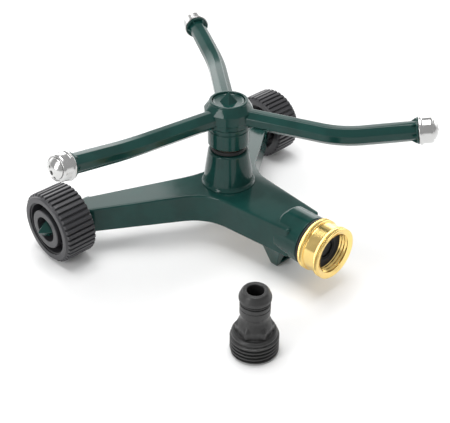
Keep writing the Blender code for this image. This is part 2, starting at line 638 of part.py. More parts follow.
def build_adapter():
    """Quick-connect nose, O-ring, hex collar and male hose thread."""
    major = ADAPTER_THREAD_R
    minor = major - 0.0012
    profile = [(0.0085, 0.0), (0.0123, 0.0), (minor, 0.0007)]
    for turn in range(5):
        low = 0.0008 + turn * 0.0024
        profile += [(minor, low + 0.0001), (major, low + 0.0008), (major, low + 0.0015)]
    profile += [(minor, 0.0127), (0.0131, 0.0130), (0.0131, 0.0141), (0.0122, 0.0150), (0.0100, 0.0150),
                (0.0100, 0.0200), (0.0092, 0.0222), (0.0083, 0.0240), (0.0079, 0.0256),
                (0.0081, 0.0268), (0.0087, 0.0284), (0.0087, 0.0345), (0.0084, 0.0349),
                (0.0072, 0.0350), (0.0072, 0.0372), (0.0088, 0.0373), (0.0092, 0.0378),
                (0.0092, 0.0390), (0.0088, 0.0402), (0.0078, 0.0422), (0.0068, 0.0433),
                (0.0052, 0.0433), (0.0048, 0.0429), (0.0048, 0.0160), (0.0085, 0.0130)]
    body = lathe(profile, 28)
    hexagon = lathe([(0.0070, 0.0146), (0.0113, 0.0146), (0.0113, 0.0196), (0.0092, 0.0224),
                     (0.0070, 0.0224)], 6, start=16.0)
    body = combine(body, [hexagon], "UNION")
    here = (ADAPTER_X, ADAPTER_Y, 0.0)
    bmesh.ops.translate(body, verts=body.verts, vec=here)
    place("adapter_body", body, "black", origin=here)
    ring = lathe([(0.0075, 0.0356), (0.0082, 0.0353), (0.0087, 0.0358), (0.0087, 0.0364),
                  (0.0082, 0.0369), (0.0075, 0.0366)], 24)
    bmesh.ops.translate(ring, verts=ring.verts, vec=here)
    place("adapter_o_ring", ring, "rubber", origin=here)


def main():
    """Build every piece."""
    for obj in list(bpy.data.objects):
        bpy.data.objects.remove(obj)
    build_base()
    build_spindle()
    build_inlet()
    build_rotor()
    build_wheel("left", -1.0)
    build_wheel("right", 1.0)
    build_adapter()


main()
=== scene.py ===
"""Looks of a three-arm rotary lawn sprinkler on a wheeled base, with a loose hose adapter.

Laid out as an add-on: property groups hold the sizes and colours, one operator builds each
piece or group of like pieces, a panel lists them, and main() runs them in order. Every new
piece is a surface computed with numpy on a grid of two parameters. Metres, +Z up, with the
spindle axis at (spindle_x, spindle_y) and the floor at z = 0.
"""
import math

import bpy
import numpy as np
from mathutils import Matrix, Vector
from mathutils.geometry import delaunay_2d_cdt


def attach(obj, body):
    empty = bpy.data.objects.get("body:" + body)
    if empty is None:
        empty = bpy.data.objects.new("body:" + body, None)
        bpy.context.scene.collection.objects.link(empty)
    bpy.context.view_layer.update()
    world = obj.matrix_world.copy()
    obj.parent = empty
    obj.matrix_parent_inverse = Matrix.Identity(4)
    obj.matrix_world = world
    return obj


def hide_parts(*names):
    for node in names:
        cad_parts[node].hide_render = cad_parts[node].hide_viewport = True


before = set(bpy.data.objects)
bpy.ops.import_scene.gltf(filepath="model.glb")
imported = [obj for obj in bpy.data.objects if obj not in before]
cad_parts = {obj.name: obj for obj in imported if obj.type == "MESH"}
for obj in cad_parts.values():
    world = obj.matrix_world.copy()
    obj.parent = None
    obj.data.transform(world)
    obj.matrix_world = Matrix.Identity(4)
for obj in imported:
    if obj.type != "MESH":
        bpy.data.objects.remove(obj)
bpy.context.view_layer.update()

bl_info = {
    "name": "Wheeled lawn sprinkler",
    "version": (1, 0, 0),
    "blender": (4, 5, 0),
    "location": "View3D > Sidebar > Sprinkler",
    "description": "Builds the looks of a three-arm lawn sprinkler on its CAD frame",
    "category": "Object",
}

TAU = math.tau

DECK_FALL = 0.095              # how much the deck drops per metre beyond its flat middle
SKIRT_FALL = 0.045             # the same for the skirts' bottom edge
SECTION_FILLETS = (0.0012, 0.0010, 0.0013)     # inside corner, bottom edge, top edge
ARM_COUNT = 3
HOLES = ((-0.0020, 0.0009, 0.00072), (-0.0003, -0.0020, 0.00122),
         (0.0013, -0.0046, 0.00072))           # side, rise and radius of a cap's holes
HOLE_DEPTH = 0.0024
DOME_RISE = 0.0022
GUSSETS = 6
KNURL_DEPTH = 0.00055
LUG_GAP = 0.14                 # half the groove between two ribs, as a share of their pitch
LUG_FLANK = 0.07               # width of a rib's flank, likewise
LUG_LEAN = 0.16                # how much lower a rib is at one side than at the other
THREAD_MINOR_R = 0.0128        # crests of the swivel's inside thread
THREAD_MAJOR_R = 0.0137        # roots of it
ADAPTER_THREAD_DEPTH = 0.0013
ADAPTER_PITCH = 0.0024
WEAVE_PITCH = 0.0009
CAMERA_AZIMUTH = -44.02        # degrees from -Y towards -X
CAMERA_ELEVATION = 34.4
CAMERA_DISTANCE = 0.60238
CAMERA_SHIFT = (-0.00222, 0.0117)              # to the right and up, from the spindle's foot
CAMERA_LENS = 71.04            # millimetres on a 36 mm sensor
SKY_DIM = 0.48
SKY_BRIGHT = 2.8
SKY_BEHIND = (0.69, 0.72, 0.0)                 # towards the bright side of the sky
SKY_EDGE = (0.54, 0.40)        # sine of the height where the bright part ends and is full
SKY_SIDES = (0.2, 0.7)         # cosine from SKY_BEHIND where it ends and is full
# name, place, size and watts of each light
LIGHTS = (("overhead", (0.0, 0.1, 1.3), (0.8, 0.8), 11.5),
          ("back left softbox", (0.50, 1.28, 1.0), (0.5, 0.5), 2.4),
          ("left softbox", (-1.3, 0.1, 0.6), (0.4, 0.9), 7.0))


# ---------------------------------------------------------------- sizes and colours

def length(name, default, description):
    """A size in metres."""
    return bpy.props.FloatProperty(name=name, description=description, default=default,
                                   unit="LENGTH", precision=5)


def colour(name, default, description):
    """A linear colour."""
    return bpy.props.FloatVectorProperty(name=name, description=description, default=default,
                                         subtype="COLOR", size=3, min=0.0, max=1.0)


class SprinklerBaseSizes(bpy.types.PropertyGroup):
    """Sizes of the cast base with its column, inlet barrel and foot."""
    spindle_x: length("Spindle X", 0.0078, "Where the spindle axis stands")
    spindle_y: length("Spindle Y", 0.0030, "Where the spindle axis stands")
    deck_z: length("Deck height", 0.0396, "Top of the flat deck")
    skirt_z: length("Skirt height", 0.0192, "Bottom edge of the skirts")
    wall: length("Wall", 0.0028, "Thickness of the skirts and of the deck")
    flat_x: length("Flat half width", 0.0160, "The deck slopes down beyond this")
    end_x: length("Leg end", 0.0825, "Where the wheel legs end")
    end_front_y: length("Leg end front", 0.0425, "Front corner of a wheel leg's end")
    end_back_y: length("Leg end back", 0.0600, "Back corner of a wheel leg's end")
    inlet_end_y: length("Inlet leg end", -0.0660, "Front end of the deck")
    inlet_end_half: length("Inlet leg half width", 0.0142, "Half width of the deck's front end")
    crotch_x: length("Crotch X", 0.0210, "Corner between inlet leg and wheel leg")
    crotch_y: length("Crotch Y", -0.0018, "Corner between inlet leg and wheel leg")
    crotch_r: length("Crotch radius", 0.034, "Rounding of that corner")
    back_y: length("Back corner Y", 0.0126, "Corner between the wheel legs at the back")
    back_r: length("Back radius", 0.040, "Rounding of that corner")
    column_foot_r: length("Column foot", 0.0163, "Radius of the column above its flange")
    column_top_r: length("Column top", 0.0130, "Radius of the column's top rim")
    column_top_z: length("Column height", 0.0633, "Top of the column")
    inlet_z: length("Inlet height", 0.0284, "Height of the inlet's axis")
    barrel_r: length("Barrel radius", 0.0156, "Radius of the inlet barrel")
    barrel_back_y: length("Barrel back", -0.0515, "Back end of the barrel")
    barrel_front_y: length("Barrel front", -0.0732, "Front end of the barrel")
    foot_half: length("Foot half width", 0.0066, "Half width of the foot at the ground")


class SprinklerRotorSizes(bpy.types.PropertyGroup):
    """Sizes of the turning head with its arms and nozzle caps."""
    angle: bpy.props.FloatProperty(name="Angle", description="Direction of the first arm",
                                   default=math.radians(-67.6), subtype="ANGLE")
    arm_z: length("Arm height", 0.0879, "Height of the arms' axes at the hub")
    hub_r: length("Hub radius", 0.0156, "Radius over the hub's corners")
    hub_top_z: length("Hub top", 0.0979, "Top of the hub's round lip")
    shoulder_z: length("Shoulder", 0.0923, "Where the hub's sloping top meets its sides")
    hub_bottom_z: length("Hub bottom", 0.0823, "Lower face of the hub")
    rim_r: length("Lip radius", 0.0121, "Radius of the hub's round lip")
    peak_z: length("Peak", 0.1026, "Tip of the pyramid on the hub")
    collar_r: length("Collar radius", 0.0132, "Radius of the collar under the hub")
    collar_z: length("Collar bottom", 0.0680, "Lower face of the collar")
    arm_width: length("Arm width", 0.0114, "Width of an arm across its flats")
    bend_r: length("Bend radius", 0.0735, "Distance of the arm's bend from the spindle")
    bend_half: length("Bend half", 0.0130, "Half the length of the bend")
    tip_r: length("Tip radius", 0.1172, "Distance of the arm's end from the spindle")
    tip_z: length("Tip height", 0.0973, "Height of the arm's end")
    tip_turn: bpy.props.FloatProperty(name="Tip turn", description="Turn of the arm's end",
                                      default=math.radians(4.7), subtype="ANGLE")
    cap_r: length("Cap radius", 0.0079, "Radius of a nozzle cap")
    cap_lip_r: length("Cap lip", 0.0086, "Radius of a nozzle cap's lip")
    cap_length: length("Cap length", 0.0108, "Length of a nozzle cap")
    dome_r: length("Dome radius", 0.0060, "Radius of the dome on a nozzle cap")
    flange_r: length("Flange radius", 0.0080, "Radius of the flange behind a nozzle cap")


class SprinklerPartSizes(bpy.types.PropertyGroup):
    """Sizes of the wheels, the hose swivel and the loose adapter."""
    wheel_y: length("Wheel Y", 0.0560, "Where the wheels' axis runs")
    wheel_r: length("Wheel radius", 0.0236, "Radius over the tyre's ribs")
    wheel_in: length("Wheel inside", 0.0843, "Inner face of a wheel")
    wheel_out: length("Wheel outside", 0.1065, "Outer face of a wheel")
    ribs: bpy.props.IntProperty(name="Ribs", description="Ribs round a tyre", default=40)
    rib_depth: length("Rib depth", 0.0016, "Height of the ribs over the drum between them")
    coupling_r: length("Swivel radius", 0.0166, "Radius over the swivel's knurled rings")
    coupling_back: length("Swivel back", -0.0759, "Back face of the swivel")
    coupling_front: length("Swivel front", -0.0919, "Front face of the swivel")
    knurls: bpy.props.IntProperty(name="Knurls", description="Teeth round the swivel",
                                  default=80)
    pitch: length("Thread pitch", 0.0022, "Pitch of the hose thread")
    adapter_x: length("Adapter X", -0.0714, "Where the adapter stands, from the spindle")
    adapter_y: length("Adapter Y", -0.0945, "Where the adapter stands, from the spindle")
    adapter_r: length("Adapter radius", 0.0140, "Radius over the adapter's thread")


class SprinklerColours(bpy.types.PropertyGroup):
    """Base colours of the materials."""
    paint: colour("Paint", (0.007, 0.043, 0.037), "Dark green enamel")
    wheel: colour("Wheel", (0.011, 0.011, 0.012), "Charcoal plastic of the wheels")
    adapter: colour("Adapter", (0.0045, 0.0045, 0.0050), "Black plastic of the adapter")
    rubber: colour("Rubber", (0.010, 0.010, 0.010), "Black rubber of the seals")
    brass: colour("Brass", (0.940, 0.690, 0.255), "Turned brass")
    chrome: colour("Chrome", (0.600, 0.600, 0.595), "Plated nozzle caps")
    steel: colour("Steel", (0.560, 0.570, 0.580), "Nut and strainer")
    nylon: colour("Nylon", (0.780, 0.770, 0.730), "Bearing washers")
    floor: colour("Floor", (0.900, 0.900, 0.900), "Studio floor")


# ---------------------------------------------------------------- surfaces

def turned_faces(verts, faces):
    """The faces with their order reversed if the closed skin they make is inside out."""
    volume = 0.0
    for face in faces:
        first = verts[face[:, 0]]
        for k in range(1, face.shape[1] - 1):
            volume += np.einsum("ij,ij->", first,
                                np.cross(verts[face[:, k]], verts[face[:, k + 1]]))
    if volume < 0.0:
        return [face[:, ::-1] for face in faces]
    return faces


def grid_quads(rows, cols, wrap_rows=False, wrap_cols=True):
    """Four-cornered faces between the neighbours of a grid of points numbered row by row."""
    i, j = np.meshgrid(np.arange(rows if wrap_rows else rows - 1),
                       np.arange(cols if wrap_cols else cols - 1), indexing="ij")
    below = (i + 1) % rows
    right = (j + 1) % cols
    return np.stack([i * cols + j, i * cols + right, below * cols + right, below * cols + j],
                    axis=-1).reshape(-1, 4)


def skin(grid, wrap_rows=False, start="cap", end="cap"):
    """Closed skin over a grid of points, rows along the piece and columns around it.

    The columns always close round. The rows close round too with wrap_rows. Otherwise each
    end is a "pole", where the row is one point, or a "cap", a fan about the row's middle.
    """
    rows, cols = grid.shape[:2]
    verts = grid.reshape(-1, 3)
    faces = [grid_quads(rows, cols, wrap_rows)]
    if not wrap_rows:
        ring = np.arange(cols)
        after = (ring + 1) % cols
        for kind, base, flip in ((start, 0, True), (end, (rows - 1) * cols, False)):
            middle = len(verts)
            verts = np.vstack([verts, grid[base // cols].mean(axis=0)[None]])
            fan = np.stack([ring + base, after + base, np.full(cols, middle)], axis=-1)
            faces.append(fan[:, ::-1] if flip else fan)
            if kind == "pole":
                verts[base:base + cols] = verts[middle] + (verts[base:base + cols]
                                                           - verts[middle]) * 1e-3
    return verts, turned_faces(verts, faces)


def rounded(corners, steps=5):
    """Profile through corners (a, b, fillet): each fillet is an arc tangent to both sides."""
    points = np.array([c[:2] for c in corners], float)
    out = []
    count = len(corners)
    for k in range(count):
        here = points[k]
        fillet = corners[k][2] if len(corners[k]) > 2 else 0.0
        back = points[k - 1] - here
        ahead = points[(k + 1) % count] - here
        open_end = k in (0, count - 1) and len(corners[k]) < 3
        if fillet <= 0.0 or open_end:
            out.append(here[None])
            continue
        reach_back = np.linalg.norm(back)
        reach_ahead = np.linalg.norm(ahead)
        back = back / reach_back
        ahead = ahead / reach_ahead
        half = 0.5 * math.acos(np.clip(back @ ahead, -1.0, 1.0))
        tangent = min(fillet / math.tan(half), 0.49 * reach_back, 0.49 * reach_ahead)
        radius = tangent * math.tan(half)
        middle = (back + ahead) / np.linalg.norm(back + ahead)
        centre = here + middle * radius / math.sin(half)
        one = here + back * tangent - centre
        two = here + ahead * tangent - centre
        turn = math.atan2(one[0] * two[1] - one[1] * two[0], one @ two)
        t = np.linspace(0.0, turn, steps + 1)[:, None]
        spun = one * np.cos(t) + np.array([-one[1], one[0]]) * np.sin(t)
        out.append(centre + spun)
    return np.vstack(out)


def refined(profile, spacing, closed=False):
    """The profile with extra points on its long stretches."""
    ends = np.vstack([profile, profile[:1]]) if closed else profile
    out = []
    for one, two in zip(ends[:-1], ends[1:]):
        parts = max(1, int(math.ceil(np.linalg.norm(two - one) / spacing)))
        out.append(one + (two - one) * (np.arange(parts) / parts)[:, None])
    if not closed:
        out.append(ends[-1:])
    return np.vstack(out)


def revolved(profile, columns, shape=None, closed=True):
    """Surface of revolution about Z: (r cos a, r sin a, z) for profile point (r, z), angle a.

    shape(a, r, z) gives the radius to use in place of r. A profile that isn't closed starts
    and ends on the axis.
    """
    angle = np.linspace(0.0, TAU, columns, endpoint=False)[None, :]
    r = profile[:, :1] + 0.0 * angle
    z = profile[:, 1:2] + 0.0 * angle
    if shape is not None:
        r = shape(angle, r, z)
    grid = np.stack([r * np.cos(angle), r * np.sin(angle), z], axis=-1)
    return skin(grid, wrap_rows=closed, start="pole", end="pole")


def moved(shell, axis=(0.0, 0.0, 1.0), centre=(0.0, 0.0, 0.0), spin=0.0):
    """A shell built about Z, spun, then turned so that Z becomes axis, then shifted."""
    verts, faces = shell
    turn = np.array([[math.cos(spin), -math.sin(spin), 0.0],
                     [math.sin(spin), math.cos(spin), 0.0], [0.0, 0.0, 1.0]])
    z = np.array(axis, float)
    z /= np.linalg.norm(z)
    helper = np.array([0.0, 0.0, 1.0]) if abs(z[2]) < 0.9 else np.array([1.0, 0.0, 0.0])
    x = np.cross(helper, z)
    x /= np.linalg.norm(x)
    basis = np.stack([x, np.cross(z, x), z], axis=1)
    if abs(z[2]) > 0.9999:
        basis = np.diag([1.0, math.copysign(1.0, z[2]), math.copysign(1.0, z[2])])
    return verts @ (basis @ turn).T + np.array(centre), faces


def on_inlet(shell):
    """A shell built about Z, laid along the inlet's axis."""
    return moved(shell, (0.0, 1.0, 0.0), (0.0, 0.0, bpy.context.scene.sprinkler_base.inlet_z))


def flat_cap(outline, height, spacing, flip):
    """Triangles inside a closed outline (n, 2), with inner points on a grid; height(x, y) is z."""
    low = outline.min(axis=0)
    high = outline.max(axis=0)
    xs = np.arange(low[0], high[0], spacing)
    ys = np.arange(low[1], high[1], spacing)
    inner = np.stack(np.meshgrid(xs, ys, indexing="ij"), axis=-1).reshape(-1, 2)
    nxt = np.roll(outline, -1, axis=0)
    x, y = inner[:, :1], inner[:, 1:]
    crosses = ((outline[:, 1] > y) != (nxt[:, 1] > y)) & (
        x < (nxt[:, 0] - outline[:, 0]) * (y - outline[:, 1])
        / np.where(nxt[:, 1] == outline[:, 1], 1.0, nxt[:, 1] - outline[:, 1]) + outline[:, 0])
    inside = crosses.sum(axis=1) % 2 == 1
    away = np.linalg.norm(inner[:, None] - outline[None], axis=-1).min(axis=1) > spacing * 0.6
    points = np.vstack([outline, inner[inside & away]])
    count = len(outline)
    found = delaunay_2d_cdt([Vector(p) for p in points], [], [list(range(count))], 1, 1e-7)
    flat = np.array([v[:] for v in found[0]])
    tris = np.array(found[2])
    verts = np.column_stack([flat, height(flat[:, 0], flat[:, 1])])
    return verts, [tris[:, ::-1] if flip else tris]


def piece(name, shells, slot, body, node, smooth=35.0, weighted=True, finish_name=None):
    """One object from shells of (vertices, faces), placed in the frame and tied to a body.

    It stands for a CAD node and shows that node's slot, whose finish it wears unless
    another one is named.
    """
    verts = []
    faces = []
    base = 0
    for shell_verts, shell_faces in shells:
        verts.append(shell_verts)
        for block in shell_faces:
            faces += (block + base).tolist()
        base += len(shell_verts)
    sizes = bpy.context.scene.sprinkler_base
    verts = np.vstack(verts) + np.array([sizes.spindle_x, sizes.spindle_y, 0.0])
    mesh = bpy.data.meshes.new(name)
    mesh.from_pydata(verts.tolist(), [], faces)
    mesh.validate()
    mesh.shade_smooth()
    mesh.set_sharp_from_angle(angle=math.radians(smooth))
    mesh.materials.append(look(finish_name or slot))
    obj = bpy.data.objects.new(name, mesh)
    bpy.context.collection.objects.link(obj)
    if weighted:
        obj.modifiers.new("even shading", "WEIGHTED_NORMAL").keep_sharp = True
    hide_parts(node)
    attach(obj, body)
    return obj


# ---------------------------------------------------------------- node groups and materials

def group(name, inputs, outputs):
    """New node group with float or vector sockets; returns it with its in and out nodes."""
    tree = bpy.data.node_groups.new(name, "ShaderNodeTree")
    for label, kind, default in inputs:
        socket = tree.interface.new_socket(label, in_out="INPUT", socket_type=kind)
        if default is not None:
            socket.default_value = default
    for label, kind in outputs:
        tree.interface.new_socket(label, in_out="OUTPUT", socket_type=kind)
    return tree, tree.nodes.new("NodeGroupInput"), tree.nodes.new("NodeGroupOutput")


def add(tree, kind, links=(), **values):
    """New node with properties set and sockets linked or given values."""
    node = tree.nodes.new(kind)
    for key, value in values.items():
        setattr(node, key, value)
    for socket, source in links:
        if isinstance(source, bpy.types.NodeSocket):
            tree.links.new(source, node.inputs[socket])
        else:
            node.inputs[socket].default_value = source
    return node


def relief_group():
    """Fine relief: a normal from noise of a given scale and height, in metres."""
    tree, into, out = group("FineRelief",
                            [("Vector", "NodeSocketVector", None),
                             ("Scale", "NodeSocketFloat", 600.0),
                             ("Height", "NodeSocketFloat", 0.00002),
                             ("Detail", "NodeSocketFloat", 2.0)],
                            [("Normal", "NodeSocketVector")])
    noise = add(tree, "ShaderNodeTexNoise",
                [("Vector", into.outputs["Vector"]), ("Scale", into.outputs["Scale"]),
                 ("Detail", into.outputs["Detail"])])
    bump = add(tree, "ShaderNodeBump",
               [("Height", noise.outputs["Fac"]), ("Distance", into.outputs["Height"]),
                ("Strength", 1.0)])
    tree.links.new(bump.outputs["Normal"], out.inputs["Normal"])
    return tree


def patch_group():
    """Patches: noise pulled to a mask from 0 to 1 between two levels."""
    tree, into, out = group("Patches",
                            [("Vector", "NodeSocketVector", None),
                             ("Scale", "NodeSocketFloat", 60.0),
                             ("Low", "NodeSocketFloat", 0.4),
                             ("High", "NodeSocketFloat", 0.6)],
                            [("Mask", "NodeSocketFloat")])
    noise = add(tree, "ShaderNodeTexNoise",
                [("Vector", into.outputs["Vector"]), ("Scale", into.outputs["Scale"]),
                 ("Detail", 4.0)])
    ramp = add(tree, "ShaderNodeMapRange",
               [("Value", noise.outputs["Fac"]), ("From Min", into.outputs["Low"]),
                ("From Max", into.outputs["High"])], interpolation_type="SMOOTHSTEP")
    tree.links.new(ramp.outputs["Result"], out.inputs["Mask"])
    return tree


def lathe_group():
    """Turning marks: a normal from noise read in radius and height about an axis along Y."""
    tree, into, out = group("LatheMarks",
                            [("Vector", "NodeSocketVector", None),
                             ("Centre", "NodeSocketVector", None),
                             ("Density", "NodeSocketFloat", 4000.0),
                             ("Height", "NodeSocketFloat", 0.000004)],
                            [("Normal", "NodeSocketVector")])
    shifted = add(tree, "ShaderNodeVectorMath", [(0, into.outputs["Vector"]),
                                                 (1, into.outputs["Centre"])],
                  operation="SUBTRACT")
    split = add(tree, "ShaderNodeSeparateXYZ", [("Vector", shifted.outputs["Vector"])])
    square = add(tree, "ShaderNodeMath", [(0, split.outputs["X"]), (1, split.outputs["X"])],
                 operation="MULTIPLY")
    both = add(tree, "ShaderNodeMath", [(0, split.outputs["Z"]), (1, split.outputs["Z"]),
                                        (2, square.outputs["Value"])], operation="MULTIPLY_ADD")
    radius = add(tree, "ShaderNodeMath", [(0, both.outputs["Value"])], operation="SQRT")
    joined = add(tree, "ShaderNodeCombineXYZ", [("X", radius.outputs["Value"]),
                                                ("Y", split.outputs["Y"])])
    noise = add(tree, "ShaderNodeTexNoise",
                [("Vector", joined.outputs["Vector"]), ("Scale", into.outputs["Density"]),
                 ("Detail", 1.0)])
    bump = add(tree, "ShaderNodeBump",
               [("Height", noise.outputs["Fac"]), ("Distance", into.outputs["Height"]),
                ("Strength", 1.0)])
    tree.links.new(bump.outputs["Normal"], out.inputs["Normal"])
    return tree


def shared(tree, name, links):
    """A shared node group used in a material, made the first time it is asked for."""
    makers = {"FineRelief": relief_group, "Patches": patch_group, "LatheMarks": lathe_group}
    return add(tree, "ShaderNodeGroup", links,
               node_tree=bpy.data.node_groups.get(name) or makers[name]())


def finish(name, base, rough, metallic=0.0, relief=(600.0, 0.00001), vary=0.06,
           patch_scale=60.0, rough_vary=0.05, specular=0.5, turned=False):
    """Principled material whose colour, roughness and relief vary over the piece.

    relief is the scale and the height of fine noise. A turned piece has marks about the
    inlet's axis in its place.
    """
    found = bpy.data.materials.get(name)
    if found:
        return found
    mat = bpy.data.materials.new(name)
    mat.use_nodes = True
    tree = mat.node_tree
    shader = tree.nodes["Principled BSDF"]
    shader.inputs["Metallic"].default_value = metallic
    shader.inputs["Specular IOR Level"].default_value = specular
    place = tree.nodes.new("ShaderNodeTexCoord").outputs["Object"]
    patches = shared(tree, "Patches", [("Vector", place), ("Scale", patch_scale)])
    tone = add(tree, "ShaderNodeMix",
               [(0, patches.outputs["Mask"]),
                (6, (*[c * (1.0 - vary) for c in base], 1.0)),
                (7, (*[min(1.0, c * (1.0 + vary)) for c in base], 1.0))], data_type="RGBA")
    tree.links.new(tone.outputs[2], shader.inputs["Base Color"])
    dull = add(tree, "ShaderNodeMapRange",
               [("Value", patches.outputs["Mask"]), ("To Min", rough),
                ("To Max", rough + rough_vary)])
    tree.links.new(dull.outputs["Result"], shader.inputs["Roughness"])
    if turned:
        sizes = bpy.context.scene.sprinkler_base
        fine = shared(tree, "LatheMarks",
                      [("Vector", place), ("Centre", (sizes.spindle_x, 0.0, sizes.inlet_z))])
    else:
        fine = shared(tree, "FineRelief",
                      [("Vector", place), ("Scale", relief[0]), ("Height", relief[1])])
    tree.links.new(fine.outputs["Normal"], shader.inputs["Normal"])
    return mat


# Enamel with a faint orange peel, moulded plastics with a fine grain, matt rubber, polished
# brass with turning marks, plating with a very fine ripple, zinc, the strainer wire darkened
# to a tenth as painted shade, and nylon.
FINISHES = {
    "paint": dict(name="paint_enamel", colour="paint", rough=0.10, relief=(420.0, 0.000012),
                  vary=0.10, patch_scale=45.0, specular=0.30),
    "wheel_plastic": dict(name="wheel_plastic", colour="wheel", rough=0.38,
                          relief=(2600.0, 0.00003), vary=0.08, rough_vary=0.10,
                          specular=0.40),
    "adapter_plastic": dict(name="adapter_plastic", colour="adapter", rough=0.28,
                            relief=(2200.0, 0.00002), vary=0.10, rough_vary=0.10,
                            specular=0.40),
    "rubber": dict(name="seal_rubber", colour="rubber", rough=0.62,
                   relief=(1800.0, 0.00002), vary=0.10, rough_vary=0.12),
    "brass": dict(name="turned_brass", colour="brass", rough=0.17, metallic=1.0, vary=0.05,
                  rough_vary=0.07, turned=True),
    "chrome": dict(name="nozzle_chrome", colour="chrome", rough=0.13, metallic=1.0,
                   relief=(900.0, 0.0000015), vary=0.02),
    "steel": dict(name="zinc_steel", colour="steel", rough=0.28, metallic=1.0,
                  relief=(1500.0, 0.00001), rough_vary=0.12),
    # The strainer's wire is the steel colour darkened to a tenth: painted shade for its place deep
    # in the swivel.
    "screen_wire": dict(name="screen_wire", colour="steel", shade=0.10, rough=0.45,
                        metallic=1.0, relief=(1500.0, 0.00001), rough_vary=0.12),
    "nylon": dict(name="washer_nylon", colour="nylon", rough=0.42,
                  relief=(1500.0, 0.00001), vary=0.03),
}


def look(finish_name):
    """The material of that finish, its colour read from the settings and then darkened by a
    painted shade factor where one is given.
    """
    values = dict(FINISHES[finish_name])
    base = getattr(bpy.context.scene.sprinkler_colours, values.pop("colour"))
    shade = values.pop("shade", 1.0)
    return finish(base=[shade * c for c in base], **values)


# ---------------------------------------------------------------- base

def rounded_outline(corners, radii, inset, arc_steps=14, spacing=0.0022, parts=None):
    """Counter-clockwise outline of a polygon moved inwards by inset, an arc at every corner.

    A convex corner's radius shrinks by the inset and a hollow corner's grows. The number of
    points doesn't depend on the inset, so two outlines can be joined row to row.
    """
    points = np.array(corners, float)
    back = points - np.roll(points, 1, axis=0)
    ahead = np.roll(points, -1, axis=0) - points
    if parts is None:
        parts = np.ceil(np.linalg.norm(ahead, axis=1) / spacing)
    parts = np.broadcast_to(np.maximum(1, parts), len(points)).astype(int)
    back /= np.linalg.norm(back, axis=1)[:, None]
    ahead /= np.linalg.norm(ahead, axis=1)[:, None]
    n1 = np.stack([-back[:, 1], back[:, 0]], axis=1)
    n2 = np.stack([-ahead[:, 1], ahead[:, 0]], axis=1)
    points = points + (n1 + n2) * (inset / (1.0 + (n1 * n2).sum(axis=1)))[:, None]
    turn = np.arctan2(back[:, 0] * ahead[:, 1] - back[:, 1] * ahead[:, 0],
                      (back * ahead).sum(axis=1))
    side = np.sign(turn)
    radius = np.maximum(np.array(radii) - side * inset, 0.0004)
    reach = radius * np.tan(np.abs(turn) / 2.0)
    start = points - back * reach[:, None]
    centre = start + n1 * (radius * side)[:, None]
    t = turn[:, None] * np.linspace(0.0, 1.0, arc_steps + 1)
    arm = start - centre
    arcs = centre[:, None] + np.stack(
        [arm[:, :1] * np.cos(t) - arm[:, 1:] * np.sin(t),
         arm[:, :1] * np.sin(t) + arm[:, 1:] * np.cos(t)], axis=-1)
    out = []
    for k in range(len(points)):
        out.append(arcs[k])
        one = arcs[k][-1]
        two = arcs[(k + 1) % len(points)][0]
        steps = (np.arange(1, parts[k]) / parts[k])[:, None]
        out.append(one + (two - one) * steps)
    return np.vstack(out)


def leg_slope(x, flat_x):
    """How far a point lies beyond the flat middle, with the kink softened over 3 mm."""
    out = np.abs(x) - flat_x
    return 0.5 * (out + np.sqrt(out * out + 0.003 ** 2)) - 0.00007


def deck_shell(s):
    """The Y-shaped deck with its skirts.

    Rows follow the wall's section (inset, offset) up the inside, round the bottom edge, up
    the outside and round the top edge. Columns follow the rounded Y outline. Offsets count
    from the top plane or from the skirt's bottom plane, and both planes fall towards the
    wheels in proportion to the distance beyond the flat middle.
    """
    corners = [(-s.inlet_end_half, s.inlet_end_y), (s.inlet_end_half, s.inlet_end_y),
               (s.crotch_x, s.crotch_y), (s.end_x, s.end_front_y), (s.end_x, s.end_back_y),
               (0.0, s.back_y), (-s.end_x, s.end_back_y), (-s.end_x, s.end_front_y),
               (-s.crotch_x, s.crotch_y)]
    radii = [0.0020, 0.0020, s.crotch_r, 0.0025, 0.0060, s.back_r, 0.0060, 0.0025, s.crotch_r]

    def top(x):
        return s.deck_z - DECK_FALL * leg_slope(x, s.flat_x)

    def bottom(x):
        return s.skirt_z - SKIRT_FALL * leg_slope(x, s.flat_x)

    wall = s.wall
    quarter = np.linspace(0.0, math.pi / 2.0, 5)
    inside, edge, rim = SECTION_FILLETS
    section = [(wall + inside * (1 - math.sin(a)), -wall - inside * (1 - math.cos(a)), True)
               for a in quarter]
    section += [(wall - edge * (1 - math.cos(a)), edge * (1 - math.sin(a)), False)
                for a in quarter]
    section += [(edge * (1 - math.sin(a)), edge * (1 - math.cos(a)), False) for a in quarter]
    section += [(rim * (1 - math.cos(a)), -rim * (1 - math.sin(a)), True)
                for a in np.linspace(0.0, math.pi / 2.0, 7)]
    rings = []
    for inset, offset, from_top in section:
        outline = rounded_outline(corners, radii, inset)
        plane = top(outline[:, 0]) if from_top else bottom(outline[:, 0])
        rings.append(np.column_stack([outline, plane + offset]))
    grid = np.array(rings)
    lid = flat_cap(grid[-1][:, :2], lambda x, y: top(x), 0.0028, False)
    roof_verts, roof = flat_cap(grid[0][:, :2], lambda x, y: top(x) - wall, 0.0050, True)
    roof_verts[:len(grid[0]), 2] = grid[0][:, 2]
    return lidded(grid, [lid, (roof_verts, roof)])


def lidded(grid, lids):
    """The faces over a grid of points and the lids that close it, as one closed skin."""
    verts = grid.reshape(-1, 3)
    faces = [grid_quads(*grid.shape[:2])]
    for lid_verts, lid in lids:
        faces.append(lid[0] + len(verts))
        verts = np.vstack([verts, lid_verts])
    return weld(verts, faces)


def weld(verts, faces, grain=1e-6):
    """Points closer than the grain become one; the skin then faces out."""
    keys = np.round(verts / grain).astype(np.int64)
    _, first, back = np.unique(keys, axis=0, return_index=True, return_inverse=True)
    back = back.reshape(-1)
    return verts[first], turned_faces(verts[first], [back[f] for f in faces])


